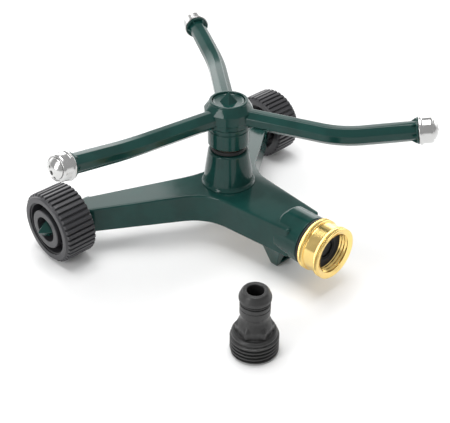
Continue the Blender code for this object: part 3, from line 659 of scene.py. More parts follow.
def foot_shell(s):
    """U-shaped foot, open to the front: the outline of the U, lofted up and widening."""
    rows = []
    slot, slot_end = 0.0046, -0.0485
    top = s.skirt_z + 0.0015
    for z, inset in ((0.0, 0.0008), (0.0001, 0.0004), (0.0004, 0.0001), (0.0008, 0.0),
                     (0.004, 0.0), (0.008, 0.0), (0.012, 0.0), (0.016, 0.0), (top, 0.0)):
        t = z / top
        half = s.foot_half + (0.0143 - s.foot_half) * t
        front = -0.0515 - 0.0085 * t
        back = -0.0455 + 0.0030 * t
        corners = [(-half, front), (-slot, front), (-slot, slot_end), (slot, slot_end),
                   (slot, front), (half, front), (half, back), (-half, back)]
        outline = rounded_outline(corners, [0.0006] * 6 + [0.0012] * 2, inset, arc_steps=4,
                                  parts=2)
        rows.append(np.column_stack([outline, np.full(len(outline), z)]))
    grid = np.array(rows)
    return lidded(grid, [flat_cap(grid[0][:, :2], lambda x, y: 0.0 * x, 0.003, True),
                         flat_cap(grid[-1][:, :2], lambda x, y: 0.0 * x + top, 0.003, False)])


def block(half_x, y0, y1, z0, z1, radius=0.0005):
    """Block with rounded upright edges: its outline lofted straight up."""
    corners = [(-half_x, y0), (half_x, y0), (half_x, y1), (-half_x, y1)]
    outline = rounded_outline(corners, [radius] * 4, 0.0, arc_steps=4, parts=1)
    rows = [np.column_stack([outline, np.full(len(outline), z)]) for z in (z0, z1)]
    return skin(np.array(rows))


class SPRINKLER_OT_base(bpy.types.Operator):
    """Cast base: deck with skirts, column, inlet barrel, foot and axle bosses"""
    bl_idname = "sprinkler.base"
    bl_label = "Cast base"

    def execute(self, context):
        s = context.scene.sprinkler_base
        parts = context.scene.sprinkler_parts
        top = s.column_top_z
        column = refined(rounded(
            [(0.0056, s.deck_z - 0.0026, 0.0), (0.0174, s.deck_z - 0.0026, 0.0),
             (0.0174, s.deck_z + 0.0006, 0.0005), (0.0166, s.deck_z + 0.0016, 0.0008),
             (s.column_foot_r - 0.0002, s.deck_z + 0.0030, 0.0012),
             (s.column_top_r, top, 0.0012), (0.0102, top, 0.0003), (0.0102, top - 0.0030, 0.0),
             (0.0056, top - 0.0030, 0.0)], 6), 0.003, closed=True)
        barrel = refined(rounded(
            [(0.0092, s.barrel_front_y, 0.0004), (s.barrel_r, s.barrel_front_y, 0.0006),
             (s.barrel_r, s.barrel_back_y - 0.0040, 0.0020),
             (s.barrel_r - 0.0040, s.barrel_back_y, 0.0010), (0.0092, s.barrel_back_y, 0.0)],
            6), 0.003, closed=True)
        boss = rounded([(0.0044, s.end_x - 0.0125, 0.0003), (0.0078, s.end_x - 0.0125, 0.0006),
                        (0.0078, s.end_x + 0.0003, 0.0004), (0.0044, s.end_x + 0.0003, 0.0003)])
        shells = [deck_shell(s), revolved(column, 96),
                  on_inlet(revolved(barrel, 96)),
                  foot_shell(s), block(0.0055, -0.0515, -0.0480, 0.0008, 0.0020),
                  block(0.0060, -0.0560, -0.0480, 0.0130, s.skirt_z + 0.0014)]
        for side in (-1.0, 1.0):
            shells.append(moved(revolved(boss, 48), (side, 0, 0),
                                (0, parts.wheel_y, parts.wheel_r)))
        piece("cast_base", shells, "paint", "base", "base_casting")
        return {"FINISHED"}


class SPRINKLER_OT_spindle(bpy.types.Operator):
    """Spindle, washers and the water tube under the deck"""
    bl_idname = "sprinkler.spindle"
    bl_label = "Spindle and water tube"

    def execute(self, context):
        s = context.scene.sprinkler_base
        top = s.column_top_z
        shaft = rounded([(0.0030, 0.0330, 0.0003), (0.0053, 0.0330, 0.0004),
                         (0.0053, top - 0.0027, 0.0), (0.0097, top - 0.0027, 0.0003),
                         (0.0097, top - 0.0007, 0.0003), (0.0045, top - 0.0007, 0.0003),
                         (0.0045, 0.0925, 0.0004), (0.0030, 0.0925, 0.0003)])
        piece("spindle_shaft", [revolved(shaft, 64)], "brass", "base", "spindle")
        washer = rounded([(0.0048, 0.0630, 0.0002), (0.0096, 0.0630, 0.0003),
                          (0.0096, 0.0646, 0.0003), (0.0048, 0.0646, 0.0002)])
        piece("thrust_ring", [revolved(washer, 64)], "nylon", "base", "thrust_washer")
        seat = rounded([(0.0099, 0.0636, 0.0003), (0.0113, 0.0636, 0.0003),
                        (0.0113, 0.0660, 0.0006), (0.0099, 0.0660, 0.0003)])
        piece("bearing_skirt", [revolved(seat, 72)], "rubber", "base", "bearing_ring")
        tube = rounded([(0.0044, -0.0530, 0.0003), (0.0064, -0.0530, 0.0004),
                        (0.0064, 0.0058, 0.0004), (0.0044, 0.0058, 0.0003)])
        riser = rounded([(0.0057, s.inlet_z + 0.0050, 0.0003), (0.0057, 0.0362, 0.0003),
                         (0.0074, 0.0362, 0.0004), (0.0074, s.inlet_z - 0.0064, 0.0010)])
        riser = np.vstack([[[0.0, s.inlet_z - 0.0064]], riser[::-1], [[0.0, s.inlet_z + 0.0050]]])
        shells = [on_inlet(revolved(tube, 48)),
                  revolved(riser, 48, closed=False)]
        piece("feed_tube", shells, "brass", "base", "water_tube")
        return {"FINISHED"}


# ---------------------------------------------------------------- turning head

def polygon_share(angle, sides, start, softness=70.0):
    """Radius of a polygon of corner radius 1 at an angle, its corners slightly rounded.

    The radius is the power mean of the distances to the sides: the sum over the sides of
    cos(angle - side) to a high power, taken to minus one over that power.
    """
    middles = start + (np.arange(sides) + 0.5) * TAU / sides
    facing = np.maximum(np.cos(angle[..., None] - middles), 0.0)
    return math.cos(math.pi / sides) * (facing ** softness).sum(axis=-1) ** (-1.0 / softness)


def four_sided_peak(half, low, high, turn, skirt=0.0):
    """Pyramid with softened edges: a square section that shrinks to a blunt tip.

    Below its foot it goes on straight down by the skirt.
    """
    t = np.linspace(0.0, 1.0, 14)
    levels = np.concatenate([[low - skirt, low - skirt + 0.0002], low + (high - low) * t,
                             [high + 0.0001]])
    width = np.concatenate([[half - 0.0002, half], half * (1.0 - t) + 0.0004 * t, [0.0002]])
    angle = np.linspace(0.0, TAU, 96, endpoint=False)
    r = width[:, None] * polygon_share(angle, 4, turn, 30.0)[None]
    z = np.repeat(levels[:, None], len(angle), axis=1)
    return skin(np.stack([r * np.cos(angle), r * np.sin(angle), z], axis=-1))


class SPRINKLER_OT_hub(bpy.types.Operator):
    """Twelve-sided hub with its round lip, dished cap and pyramid, and the collar below"""
    bl_idname = "sprinkler.hub"
    bl_label = "Rotor hub"

    def execute(self, context):
        s = context.scene.sprinkler_rotor
        low, shoulder, top = s.hub_bottom_z, s.shoulder_z, s.hub_top_z
        side_r = s.hub_r
        profile = refined(rounded(
            [(0.0092, low, 0.0004), (0.0147, low, 0.0006), (0.0147, 0.0855, 0.0002),
             (side_r, 0.0862, 0.0004), (side_r, shoulder, 0.0008),
             (s.rim_r + 0.0002, top - 0.0012, 0.0003), (s.rim_r, top, 0.0006),
             (0.0104, top, 0.0004), (0.0102, 0.0947, 0.0), (0.0092, 0.0946, 0.0)], 5),
            0.0016, closed=True)
        start = s.angle + math.radians(15.0)

        def flats(angle, r, z):
            share = polygon_share(angle, 12, start)
            up = np.clip((z - shoulder) / (top - 0.0016 - shoulder), 0.0, 1.0)
            amount = np.where(r > 0.0110, 1.0 - up ** 1.5, 0.0)
            return r * (1.0 - amount + amount * share)

        piece("hub_body", [revolved(profile, 288, flats)], "paint", "rotor", "rotor_hub",
              smooth=50.0)
        dish = rounded([(0.0, 0.0949), (0.0100, 0.0949, 0.0003), (0.0100, 0.0974, 0.0005),
                        (0.0086, 0.0966, 0.0010), (0.0, 0.0962)], 5)
        peak = four_sided_peak(0.0062, 0.0958, s.peak_z, s.angle + math.radians(22.0))
        piece("hub_insert", [revolved(dish, 96, closed=False), peak], "paint", "rotor",
              "hub_cap")
        collar = refined(rounded(
            [(0.0093, s.collar_z, 0.0003), (s.collar_r, s.collar_z, 0.0007),
             (s.collar_r, 0.0783, 0.0003), (0.0127, 0.0787, 0.0003), (0.0127, 0.0796, 0.0003),
             (0.0137, 0.0800, 0.0004), (0.0137, low - 0.0003, 0.0004),
             (0.0093, low - 0.0003, 0.0)], 5), 0.002, closed=True)
        piece("swivel_sleeve", [revolved(collar, 96)], "paint", "rotor", "swivel_collar")
        return {"FINISHED"}


def arm_frame(s, number):
    """Directions and points of an arm: outward, bend corner, tip and tip direction."""
    angle = s.angle + number * TAU / ARM_COUNT
    out = np.array([math.cos(angle), math.sin(angle), 0.0])
    bend = out * s.bend_r + np.array([0.0, 0.0, s.arm_z])
    tip = np.array([s.tip_r * math.cos(angle + s.tip_turn),
                    s.tip_r * math.sin(angle + s.tip_turn), s.tip_z])
    along = (tip - bend) / np.linalg.norm(tip - bend)
    return out, bend, tip, along


def octagon(phi, width, roundness):
    """Radius of the arm's section at angle phi, from a soft octagon towards a circle.

    Power mean of the eight side distances, the slanted sides set in by 2 % so that they
    are a little wider than the upright and level ones.
    """
    middles = np.arange(8) * TAU / 8
    reach = 0.5 * width * np.where(np.arange(8) % 2 == 0, 1.0, 0.975)
    power = 54.0
    facing = np.maximum(np.cos(phi[..., None] - middles), 0.0) / reach * 0.001
    flat = 0.001 * (facing ** power).sum(axis=-1) ** (-1.0 / power)
    return flat * (1.0 - roundness) + 0.5 * width * 1.012 * roundness


def arm_shell(s, number):
    """Arm: the octagon swept from the hub along a straight line, a smooth bend and a straight."""
    out, bend, tip, along = arm_frame(s, number)
    begin = bend - out * s.bend_half
    end = bend + along * s.bend_half
    root = out * 0.0140 + np.array([0.0, 0.0, s.arm_z])
    t = np.linspace(0.0, 1.0, 18)[:, None]
    first = root + (begin - root) * np.linspace(0.0, 1.0, 14)[:-1, None]
    curve = begin * (1 - t) ** 2 + bend * 2 * t * (1 - t) + end * t ** 2
    stop = tip - along * 0.0004
    last = end + (stop - end) * np.linspace(0.0, 1.0, 10)[1:, None]
    path = np.vstack([first, curve, last])
    run = np.concatenate([[0.0], np.cumsum(np.linalg.norm(np.diff(path, axis=0), axis=1))])
    tangent = np.gradient(path, run, axis=0)
    tangent /= np.linalg.norm(tangent, axis=1)[:, None]
    side = np.cross(tangent, [0.0, 0.0, 1.0])
    side /= np.linalg.norm(side, axis=1)[:, None]
    up = np.cross(side, tangent)
    past = np.clip((run - run[len(first)]) / (run[-1] - run[len(first)]), 0.0, 1.0)
    roundness = 0.08 * past + 0.30 * np.clip(past * 4.0 - 3.0, 0.0, 1.0)
    phi = np.linspace(0.0, TAU, 128, endpoint=False)
    radius = octagon(np.repeat(phi[None], len(path), axis=0), s.arm_width,
                     roundness[:, None])
    grid = (path[:, None] + side[:, None] * (radius * np.cos(phi))[..., None]
            + up[:, None] * (radius * np.sin(phi))[..., None])
    return skin(grid)


def gusset(reach):
    """Small three-cornered rib from the arm to the back of its flange."""
    corner = np.array([[0.0050, -0.0050], [0.0056, -0.0050], [reach - 0.0006, -0.0020],
                       [reach - 0.0006, -0.0012], [0.0050, -0.0012]])
    rows = [np.column_stack([corner[:, 0], np.full(len(corner), half), corner[:, 1]])
            for half in (-0.00045, 0.00045)]
    return skin(np.array(rows))


class SPRINKLER_OT_arms(bpy.types.Operator):
    """The bent eight-sided arms with the round flange under each nozzle cap"""
    bl_idname = "sprinkler.arms"
    bl_label = "Arms"

    def execute(self, context):
        s = context.scene.sprinkler_rotor
        for number in range(ARM_COUNT):
            tip, along = arm_frame(s, number)[2:]
            flange = rounded([(0.0, -0.0015), (s.flange_r, -0.0015, 0.0004),
                              (s.flange_r, -0.0003, 0.0003), (0.0, -0.0003)], 4)
            stub = rounded([(0.0032, -0.0005, 0.0), (0.0052, -0.0005, 0.0),
                            (0.0052, 0.0056, 0.0004), (0.0032, 0.0056, 0.0003)], 4)
            piece("beam_%d" % (number + 1),
                  [arm_shell(s, number), moved(revolved(flange, 64, closed=False), along, tip),
                   moved(revolved(stub, 40), along, tip)]
                  + [moved(gusset(s.flange_r), along, tip, TAU * k / GUSSETS)
                     for k in range(GUSSETS)],
                  "paint", "rotor", "arm_%d" % (number + 1), smooth=50.0, weighted=False)
        return {"FINISHED"}


def cap_shell(s):
    """Nozzle cap: a turned skirt, and a domed face with three holes in a row.

    The face is a square grid drawn to a disc. Its height is the cap's length less a share of
    (radius / rim) to the power 2.2, lowered inside each hole by a steep smooth step. The rim
    of that disc has the columns of the turned part. Also gives which faces lie in a hole; these
    are painted black as shade for the open holes.
    """
    size = s.cap_length
    half_cells = 60
    line = np.linspace(-1.0, 1.0, 2 * half_cells + 1)
    a, b = np.meshgrid(line, line, indexing="ij")
    big = np.maximum(np.abs(a), np.abs(b))
    with np.errstate(divide="ignore", invalid="ignore"):
        first = np.where(a == 0.0, 0.0, b / a) * math.pi / 4.0
        second = math.pi / 2.0 - np.where(b == 0.0, 0.0, a / b) * math.pi / 4.0
    phi = np.where(np.abs(a) >= np.abs(b), first, second)
    sign = np.where(np.abs(a) >= np.abs(b), np.sign(a), np.sign(b))
    rim = s.dome_r
    u = sign * big * np.cos(phi) * rim
    v = sign * big * np.sin(phi) * rim
    dome = size - DOME_RISE * (np.hypot(u, v) / rim) ** 2.2
    open_at = np.zeros(dome.shape, bool)
    for side, rise, hole in HOLES:
        d = np.hypot(u - side, v - rise)
        t = np.clip((hole + 0.00010 - d) / 0.00020, 0.0, 1.0)
        dome = dome - HOLE_DEPTH * t * t * (3.0 - 2.0 * t)
        open_at |= d < hole
    count = 2 * half_cells + 1
    verts = np.stack([u, v, dome], axis=-1).reshape(-1, 3)
    quads = np.roll(grid_quads(count, count, wrap_cols=False)[:, ::-1], 1, axis=1)
    columns = 8 * half_cells
    edge = np.linspace(0.0, TAU, columns, endpoint=False)
    profile = rounded([(rim, size - DOME_RISE), (0.0060, size - 0.0035, 0.0001),
                       (0.0065, size - 0.0035, 0.0001),
                       (0.0067, size - 0.0024, 0.0003), (s.cap_r, size - 0.0036, 0.0018),
                       (s.cap_r, 0.0020, 0.0004), (s.cap_lip_r, 0.0013, 0.0003),
                       (s.cap_lip_r, 0.0, 0.0004), (0.0056, 0.0, 0.0002), (0.0056, 0.0060)], 6)
    grid = np.stack([profile[:, :1] * np.cos(edge), profile[:, :1] * np.sin(edge),
                     profile[:, 1:] + 0.0 * edge], axis=-1)
    rows = len(profile)
    band = grid_quads(rows, columns)
    ring = np.arange(columns)
    base = len(verts)
    middle = base + rows * columns
    lid = np.stack([ring + base + (rows - 1) * columns,
                    (ring + 1) % columns + base + (rows - 1) * columns,
                    np.full(columns, middle)], axis=-1)
    verts = np.vstack([verts, grid.reshape(-1, 3), [[0.0, 0.0, 0.0060]]])
    shell = weld(verts, [quads, band[:, ::-1] + base, lid[:, ::-1]], 2e-6)
    # Faces inside a hole: their black finish is painted shade for the open holes.
    hole_shade = open_at.reshape(-1)[quads].all(axis=1)
    return shell, np.concatenate([hole_shade, np.zeros(len(band) + len(lid), bool)])


class SPRINKLER_OT_nozzles(bpy.types.Operator):
    """Chrome caps on the arms' ends, each with a row of holes whose floors are painted black as
    shade
    """
    bl_idname = "sprinkler.nozzles"
    bl_label = "Nozzle caps"

    def execute(self, context):
        s = context.scene.sprinkler_rotor
        shell, hole_shade = cap_shell(s)
        for number in range(ARM_COUNT):
            tip, along = arm_frame(s, number)[2:]
            cap = piece("spray_cap_%d" % (number + 1), [moved(shell, along, tip)],
                        "chrome", "nozzle_%d" % (number + 1),
                        "nozzle_cap_%d" % (number + 1), smooth=60.0, weighted=False)
            # The hole floors take the black rubber finish as painted shade inside the open holes.
            cap.data.materials.append(look("rubber"))
            cap.data.polygons.foreach_set("material_index", hole_shade.astype(np.int32))
        return {"FINISHED"}


# ---------------------------------------------------------------- hose inlet

class SPRINKLER_OT_swivel(bpy.types.Operator):
    """Knurled brass swivel with its inside thread, and the washers and screen in it"""
    bl_idname = "sprinkler.swivel"
    bl_label = "Hose swivel"

    def execute(self, context):
        p = context.scene.sprinkler_parts
        back, front, big = p.coupling_back, p.coupling_front, p.coupling_r
        waist = big - 0.0010
        minor, major = THREAD_MINOR_R, THREAD_MAJOR_R
        outside = rounded(
            [(0.0084, back, 0.0003), (big, back, 0.0004), (big, back - 0.0038, 0.0002),
             (waist, back - 0.0041, 0.0002), (waist - 0.0001, front + 0.0044, 0.0003),
             (big, front + 0.0038, 0.0003), (big, front, 0.0004),
             (major + 0.0014, front, 0.0002), (minor, front + 0.0010, 0.0002)], 5)
        bore = np.column_stack([np.full(70, minor),
                                np.linspace(front + 0.0010, -0.0802, 70)])
        floor = rounded([(minor, -0.0800, 0.0), (0.0084, -0.0800, 0.0)], 4)
        profile = np.vstack([refined(outside, 0.0006), bore, floor])

        def cut(angle, r, z):
            knurl = 0.5 + 0.5 * np.cos(angle * p.knurls)
            on_ring = ((z > back - 0.0036) & (z < back - 0.0006)) | (
                (z > front + 0.0008) & (z < front + 0.0036))
            outer = r > big - 0.0003
            r = r - np.where(on_ring & outer, KNURL_DEPTH * knurl, 0.0)
            turn = (z - front) / p.pitch - angle / TAU
            wave = 1.0 - np.abs(2.0 * np.mod(turn, 1.0) - 1.0)
            fade = np.clip((z - front - 0.0010) / 0.0008, 0.0, 1.0) * np.clip(
                (-0.0812 - z) / 0.0010, 0.0, 1.0)
            inside = np.abs(r - minor) < 1e-6
            return np.where(inside, r + (major - minor) * wave * fade, r)

        shell = on_inlet(revolved(profile, p.knurls * 4, cut))
        piece("hose_swivel", [shell], "brass", "coupling", "swivel_coupling", smooth=50.0)
        washer = rounded([(0.0066, -0.0852, 0.0006), (0.0123, -0.0852, 0.0006),
                          (0.0123, -0.0826, 0.0004), (0.0066, -0.0826, 0.0004)], 5)
        piece("hose_gasket", [on_inlet(revolved(washer, 96))], "rubber", "coupling",
              "hose_washer")
        seal = rounded([(0.0093, -0.0756, 0.0005), (0.0158, -0.0756, 0.0008),
                        (0.0158, -0.0735, 0.0008), (0.0093, -0.0735, 0.0005)], 5)
        piece("inlet_ring", [on_inlet(revolved(seal, 96))], "rubber", "base", "inlet_seal")
        tail = rounded([(0.0052, -0.0536, 0.0002), (0.0067, -0.0536, 0.0002),
                        (0.0067, -0.0518, 0.0), (0.0089, -0.0518, 0.0002),
                        (0.0089, -0.0741, 0.0002), (0.0080, -0.0742, 0.0),
                        (0.0080, -0.0803, 0.0), (0.0118, -0.0804, 0.0002),
                        (0.0118, -0.0823, 0.0004), (0.0052, -0.0823, 0.0003)], 4)
        piece("inlet_nipple", [on_inlet(revolved(tail, 72))], "brass", "base", "inlet_tail")
        # The strainer wears the steel colour darkened as painted shade.
        piece("inlet_screen", [on_inlet(screen_shell())], "steel", "coupling", "strainer",
              smooth=60.0, weighted=False, finish_name="screen_wire")
        return {"FINISHED"}


def screen_shell():
    """Strainer: a cup whose floor carries a woven relief, two crossed cosines in height."""
    reach = np.concatenate([np.linspace(0.0001, 0.0055, 46), [0.0057, 0.0057, 0.0059, 0.0062,
                                                              0.0062, 0.0060, 0.0001]])
    level = np.concatenate([np.full(46, -0.0834), [-0.0835, -0.0849, -0.0850, -0.0849,
                                                   -0.0831, -0.0829, -0.0829]])
    angle = np.linspace(0.0, TAU, 240, endpoint=False)[None]
    r = reach[:, None] + 0.0 * angle
    x = r * np.cos(angle)
    y = r * np.sin(angle)
    z = level[:, None] + 0.0 * angle
    weave = np.cos(x * TAU / WEAVE_PITCH) * np.cos(y * TAU / WEAVE_PITCH)
    floor = (np.arange(len(reach)) < 45)[:, None]
    z = z - np.where(floor, 0.00010 * (weave + 1.0), 0.0)
    return skin(np.stack([x, y, z], axis=-1), start="pole", end="pole")


# ---------------------------------------------------------------- wheels

class SPRINKLER_OT_wheels(bpy.types.Operator):
    """Ribbed wheels with their hubs, washers and axles with four-sided heads"""
    bl_idname = "sprinkler.wheels"
    bl_label = "Wheels"

    def execute(self, context):
        s = context.scene.sprinkler_base
        p = context.scene.sprinkler_parts
        low, high = p.wheel_in, p.wheel_out
        web = (low + high) / 2.0
        big = p.wheel_r
        drum = big - p.rib_depth
        centre = (0.0, p.wheel_y, p.wheel_r)
        tread = refined(rounded(
            [(0.0178, low, 0.0004), (drum - 0.0005, low, 0.0007), (drum, low + 0.0004, 0.0002),
             (big, low + 0.0007, 0.0004), (big, high - 0.0018, 0.0004),
             (drum, high - 0.0013, 0.0003), (drum - 0.0005, high, 0.0007),
             (0.0178, high, 0.0004)], 4), 0.0030, closed=True)

        def ribbed(angle, r, z):
            phase = np.mod(angle * p.ribs / TAU, 1.0)
            lug = np.clip((np.abs(phase - 0.5) - LUG_GAP) / LUG_FLANK, 0.0, 1.0)
            lug = lug * lug * (3.0 - 2.0 * lug) * (1.0 - LUG_LEAN * np.mod(phase + 0.5, 1.0))
            return np.where(r > drum, drum + (r - drum) * lug, r)

        hub = refined(rounded(
            [(0.0043, low, 0.0003), (0.0130, low, 0.0008), (0.0130, web - 0.0015, 0.0006),
             (0.0170, web - 0.0015, 0.0006), (0.0170, low + 0.0010, 0.0003),
             (0.01755, low + 0.0010, 0.0), (0.01755, high - 0.0010, 0.0),
             (0.0170, high - 0.0010, 0.0003), (0.0170, web + 0.0015, 0.0006),
             (0.0130, web + 0.0015, 0.0006), (0.0130, high + 0.0004, 0.0007),
             (0.0084, high + 0.0004, 0.0005), (0.0084, high - 0.0080, 0.0005),
             (0.0043, high - 0.0080, 0.0)], 5), 0.003, closed=True)
        washer = rounded([(0.0043, s.end_x + 0.0006, 0.0002), (0.0076, s.end_x + 0.0006, 0.0003),
                          (0.0076, low - 0.0003, 0.0003), (0.0043, low - 0.0003, 0.0002)])
        shaft = rounded([(0.0, s.end_x - 0.0092), (0.0040, s.end_x - 0.0092, 0.0005),
                         (0.0040, high - 0.0020, 0.0), (0.0, high - 0.0020)])
        for name, side in (("left", -1.0), ("right", 1.0)):
            axis = (side, 0, 0)
            body = "wheel_" + name
            piece("tread_" + name, [moved(revolved(tread, p.ribs * 16, ribbed), axis, centre)],
                  "wheel_plastic", body, "tyre_" + name, smooth=50.0, weighted=False)
            piece("disc_" + name, [moved(revolved(hub, 96), axis, centre)],
                  "wheel_plastic", body, "wheel_" + name)
            piece("spacer_" + name, [moved(revolved(washer, 64), axis, centre)],
                  "nylon", "base", "wheel_washer_" + name)
            head = four_sided_peak(0.0062, high - 0.0012, high + 0.0056, 0.0, 0.0014)
            piece("stub_" + name,
                  [moved(revolved(shaft, 48, closed=False), axis, centre),
                   moved(head, axis, centre)],
                  "paint", "base", "axle_" + name)
        return {"FINISHED"}


# ---------------------------------------------------------------- loose adapter

class SPRINKLER_OT_adapter(bpy.types.Operator):
    """Loose hose adapter: ribbed nose, O-ring, hex collar and outside thread"""
    bl_idname = "sprinkler.adapter"
    bl_label = "Hose adapter"

    def execute(self, context):
        p = context.scene.sprinkler_parts
        centre = (p.adapter_x, p.adapter_y, 0.0)
        major = p.adapter_r
        minor = major - ADAPTER_THREAD_DEPTH
        inside = rounded([(0.0048, 0.0160, 0.0004), (0.0085, 0.0130, 0.0004),
                          (0.0085, 0.0, 0.0003), (minor, 0.0, 0.0006)], 4)
        thread = np.column_stack([np.full(90, minor), np.linspace(0.0006, 0.0128, 90)])
        outside = rounded([(minor, 0.0128, 0.0), (0.0131, 0.0131, 0.0003),
                           (0.0131, 0.0141, 0.0004), (0.0122, 0.0150, 0.0004),
                           (0.0100, 0.0150, 0.0004),
                           (0.0100, 0.0200, 0.0010), (0.0079, 0.0253, 0.0040),
                           (0.0087, 0.0280, 0.0012), (0.0087, 0.0318, 0.0002),
                           (0.0084, 0.0320, 0.0001), (0.0084, 0.0323, 0.0001),
                           (0.0087, 0.0325, 0.0002), (0.0087, 0.0349, 0.0004),
                           (0.0072, 0.0351, 0.0002), (0.0072, 0.0371, 0.0002),
                           (0.0092, 0.0373, 0.0005), (0.0092, 0.0393, 0.0009),
                           (0.0079, 0.0424, 0.0016), (0.0071, 0.0433, 0.0009),
                           (0.0048, 0.0433, 0.0008), (0.0048, 0.0160, 0.0)], 5)
        profile = np.vstack([inside[:-1], thread, refined(outside[:-1], 0.0012)])

        def threaded(angle, r, z):
            turn = z / ADAPTER_PITCH - angle / TAU
            wave = np.clip(0.5 + 0.9 * np.cos(TAU * turn), 0.0, 1.0)
            fade = np.clip((z - 0.0004) / 0.0012, 0.0, 1.0) * np.clip(
                (0.0128 - z) / 0.0010, 0.0, 1.0)
            on = np.abs(r - minor) < 1e-6
            return np.where(on, r + (major - minor) * wave * fade, r)

        hexagon = refined(rounded([(0.0070, 0.0146, 0.0), (0.0113, 0.0146, 0.0005),
                                   (0.0113, 0.0197, 0.0006), (0.0090, 0.0226, 0.0008),
                                   (0.0070, 0.0226, 0.0)], 5), 0.001, closed=True)

        def six(angle, r, z):
            share = polygon_share(angle, 6, math.radians(16.0), 44.0)
            up = np.clip((z - 0.0197) / 0.0030, 0.0, 1.0)
            amount = np.where(r > 0.0085, 1.0 - 0.75 * up, 0.0)
            return r * (1.0 - amount + amount * share)

        shells = [revolved(profile, 192, threaded), revolved(hexagon, 192, six)]
        piece("adapter_shell", [moved(shell, centre=centre) for shell in shells],
              "adapter_plastic", "adapter", "adapter_body", smooth=55.0)
        a = np.linspace(0.0, TAU, 16, endpoint=False)
        ring = np.column_stack([0.0081 + 0.00062 * np.cos(a), 0.0361 + 0.0008 * np.sin(a)])
        piece("adapter_ring", [moved(revolved(ring, 96), centre=centre)], "rubber",
              "adapter", "adapter_o_ring")
        return {"FINISHED"}


# ---------------------------------------------------------------- carried-over nodes, stage

class SPRINKLER_OT_carried(bpy.types.Operator):
    """Finishes for the hidden working pieces that keep their CAD shape"""
    bl_idname = "sprinkler.carried"
    bl_label = "Hidden pieces"

    def execute(self, context):
        looks = {"spindle_nut": "steel", "rotor_bush": "brass", "spindle_seal": "rubber",
                 "nozzle_seal_1": "rubber", "nozzle_seal_2": "rubber",
                 "nozzle_seal_3": "rubber"}
        for node, finish_name in looks.items():
            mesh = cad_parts[node].data
            mesh.materials.clear()
            mesh.materials.append(look(finish_name))
        return {"FINISHED"}


def area_light(name, place, target, size, power):
    """Rectangular soft light that faces a point."""
    data = bpy.data.lights.new(name, "AREA")
    data.shape = "RECTANGLE"
    data.size, data.size_y = size
    data.energy = power
    obj = bpy.data.objects.new(name, data)
    obj.location = place
    obj.rotation_euler = (Vector(target) - Vector(place)).to_track_quat("-Z", "Y").to_euler()
    bpy.context.collection.objects.link(obj)


def backdrop_light(tree):
    """Sky of a studio: dim all round, bright behind the object up to about 28 degrees."""
    coords = add(tree, "ShaderNodeTexCoord")
    split = add(tree, "ShaderNodeSeparateXYZ", [("Vector", coords.outputs["Generated"])])
    low = add(tree, "ShaderNodeMapRange",
              [("Value", split.outputs["Z"]), ("From Min", SKY_EDGE[0]),
               ("From Max", SKY_EDGE[1])],
              interpolation_type="SMOOTHSTEP")
    ahead = add(tree, "ShaderNodeVectorMath",
                [(0, coords.outputs["Generated"]), (1, SKY_BEHIND)],
                operation="DOT_PRODUCT")
    behind = add(tree, "ShaderNodeMapRange",
                 [("Value", ahead.outputs["Value"]), ("From Min", SKY_SIDES[0]),
                  ("From Max", SKY_SIDES[1])],
                 interpolation_type="SMOOTHSTEP")
    both = add(tree, "ShaderNodeMath", [(0, low.outputs["Result"]),
                                        (1, behind.outputs["Result"])], operation="MULTIPLY")
    strength = add(tree, "ShaderNodeMapRange",
                   [("Value", both.outputs["Value"]), ("To Min", SKY_DIM),
                    ("To Max", SKY_BRIGHT)])
    back = tree.nodes["Background"]
    back.inputs["Color"].default_value = (1.0, 1.0, 1.0, 1.0)
    tree.links.new(strength.outputs["Result"], back.inputs["Strength"])


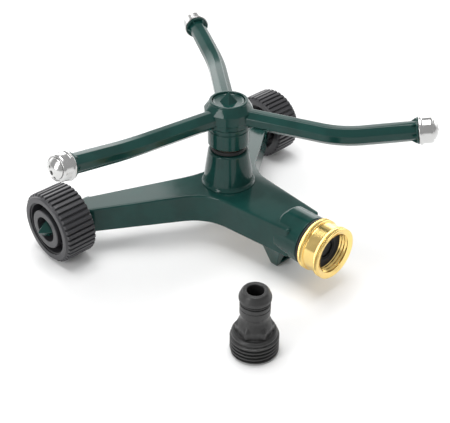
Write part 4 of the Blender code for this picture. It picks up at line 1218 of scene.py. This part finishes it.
class SPRINKLER_OT_stage(bpy.types.Operator):
    """Pale floor, soft lights and the camera"""
    bl_idname = "sprinkler.stage"
    bl_label = "Stage"

    def execute(self, context):
        s = context.scene.sprinkler_base
        scene = context.scene
        mesh = bpy.data.meshes.new("floor")
        half = 6.0
        mesh.from_pydata([(-half, -half, 0.0), (half, -half, 0.0), (half, half, 0.0),
                          (-half, half, 0.0)], [], [(0, 1, 2, 3)])
        mesh.materials.append(finish("studio_floor", scene.sprinkler_colours.floor, 0.75,
                                     relief=(20.0, 0.00001), vary=0.004, patch_scale=2.0,
                                     specular=0.1))
        floor = bpy.data.objects.new("floor", mesh)
        context.collection.objects.link(floor)

        world = bpy.data.worlds.new("studio")
        scene.world = world
        world.use_nodes = True
        backdrop_light(world.node_tree)
        centre = (s.spindle_x, s.spindle_y, 0.05)
        for name, place, size, power in LIGHTS:
            area_light(name, place, centre, size, power)
        scene.view_settings.view_transform = "Standard"

        azimuth = math.radians(CAMERA_AZIMUTH)
        height = math.radians(CAMERA_ELEVATION)
        back = Vector((math.sin(azimuth) * math.cos(height),
                       -math.cos(azimuth) * math.cos(height), math.sin(height)))
        right = Vector((math.cos(azimuth), math.sin(azimuth), 0.0))
        up = back.cross(right)
        eye = back * CAMERA_DISTANCE + right * CAMERA_SHIFT[0] + up * CAMERA_SHIFT[1]
        data = bpy.data.cameras.new("camera")
        data.lens = CAMERA_LENS
        data.sensor_width = 36.0
        data.clip_start = 0.01
        camera = bpy.data.objects.new("camera", data)
        camera.location = eye + Vector((s.spindle_x, s.spindle_y, 0.0))
        camera.rotation_mode = "QUATERNION"
        camera.rotation_quaternion = back.to_track_quat("Z", "Y")
        context.collection.objects.link(camera)
        scene.camera = camera
        return {"FINISHED"}


# ---------------------------------------------------------------- panel and registration

OPERATORS = (SPRINKLER_OT_base, SPRINKLER_OT_spindle, SPRINKLER_OT_hub, SPRINKLER_OT_arms,
             SPRINKLER_OT_nozzles, SPRINKLER_OT_swivel, SPRINKLER_OT_wheels,
             SPRINKLER_OT_adapter, SPRINKLER_OT_carried, SPRINKLER_OT_stage)
SETTINGS = (("sprinkler_base", SprinklerBaseSizes), ("sprinkler_rotor", SprinklerRotorSizes),
            ("sprinkler_parts", SprinklerPartSizes), ("sprinkler_colours", SprinklerColours))


class SPRINKLER_PT_panel(bpy.types.Panel):
    """Lists the steps that build the sprinkler"""
    bl_idname = "SPRINKLER_PT_panel"
    bl_label = "Lawn sprinkler"
    bl_space_type = "VIEW_3D"
    bl_region_type = "UI"
    bl_category = "Sprinkler"

    def draw(self, context):
        for step in OPERATORS:
            self.layout.operator(step.bl_idname)


def register():
    """Adds the classes and the settings."""
    for name, settings in SETTINGS:
        bpy.utils.register_class(settings)
        setattr(bpy.types.Scene, name, bpy.props.PointerProperty(type=settings))
    for step in OPERATORS:
        bpy.utils.register_class(step)
    bpy.utils.register_class(SPRINKLER_PT_panel)


def unregister():
    """Takes them away again."""
    bpy.utils.unregister_class(SPRINKLER_PT_panel)
    for step in reversed(OPERATORS):
        bpy.utils.unregister_class(step)
    for name, settings in reversed(SETTINGS):
        delattr(bpy.types.Scene, name)
        bpy.utils.unregister_class(settings)


def main():
    """Registers the add-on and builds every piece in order."""
    register()
    for step in OPERATORS:
        family, action = step.bl_idname.split(".")
        result = getattr(getattr(bpy.ops, family), action)()
        if result != {"FINISHED"}:
            raise RuntimeError(step.bl_label + " could not be built")


if __name__ == "__main__":
    main()
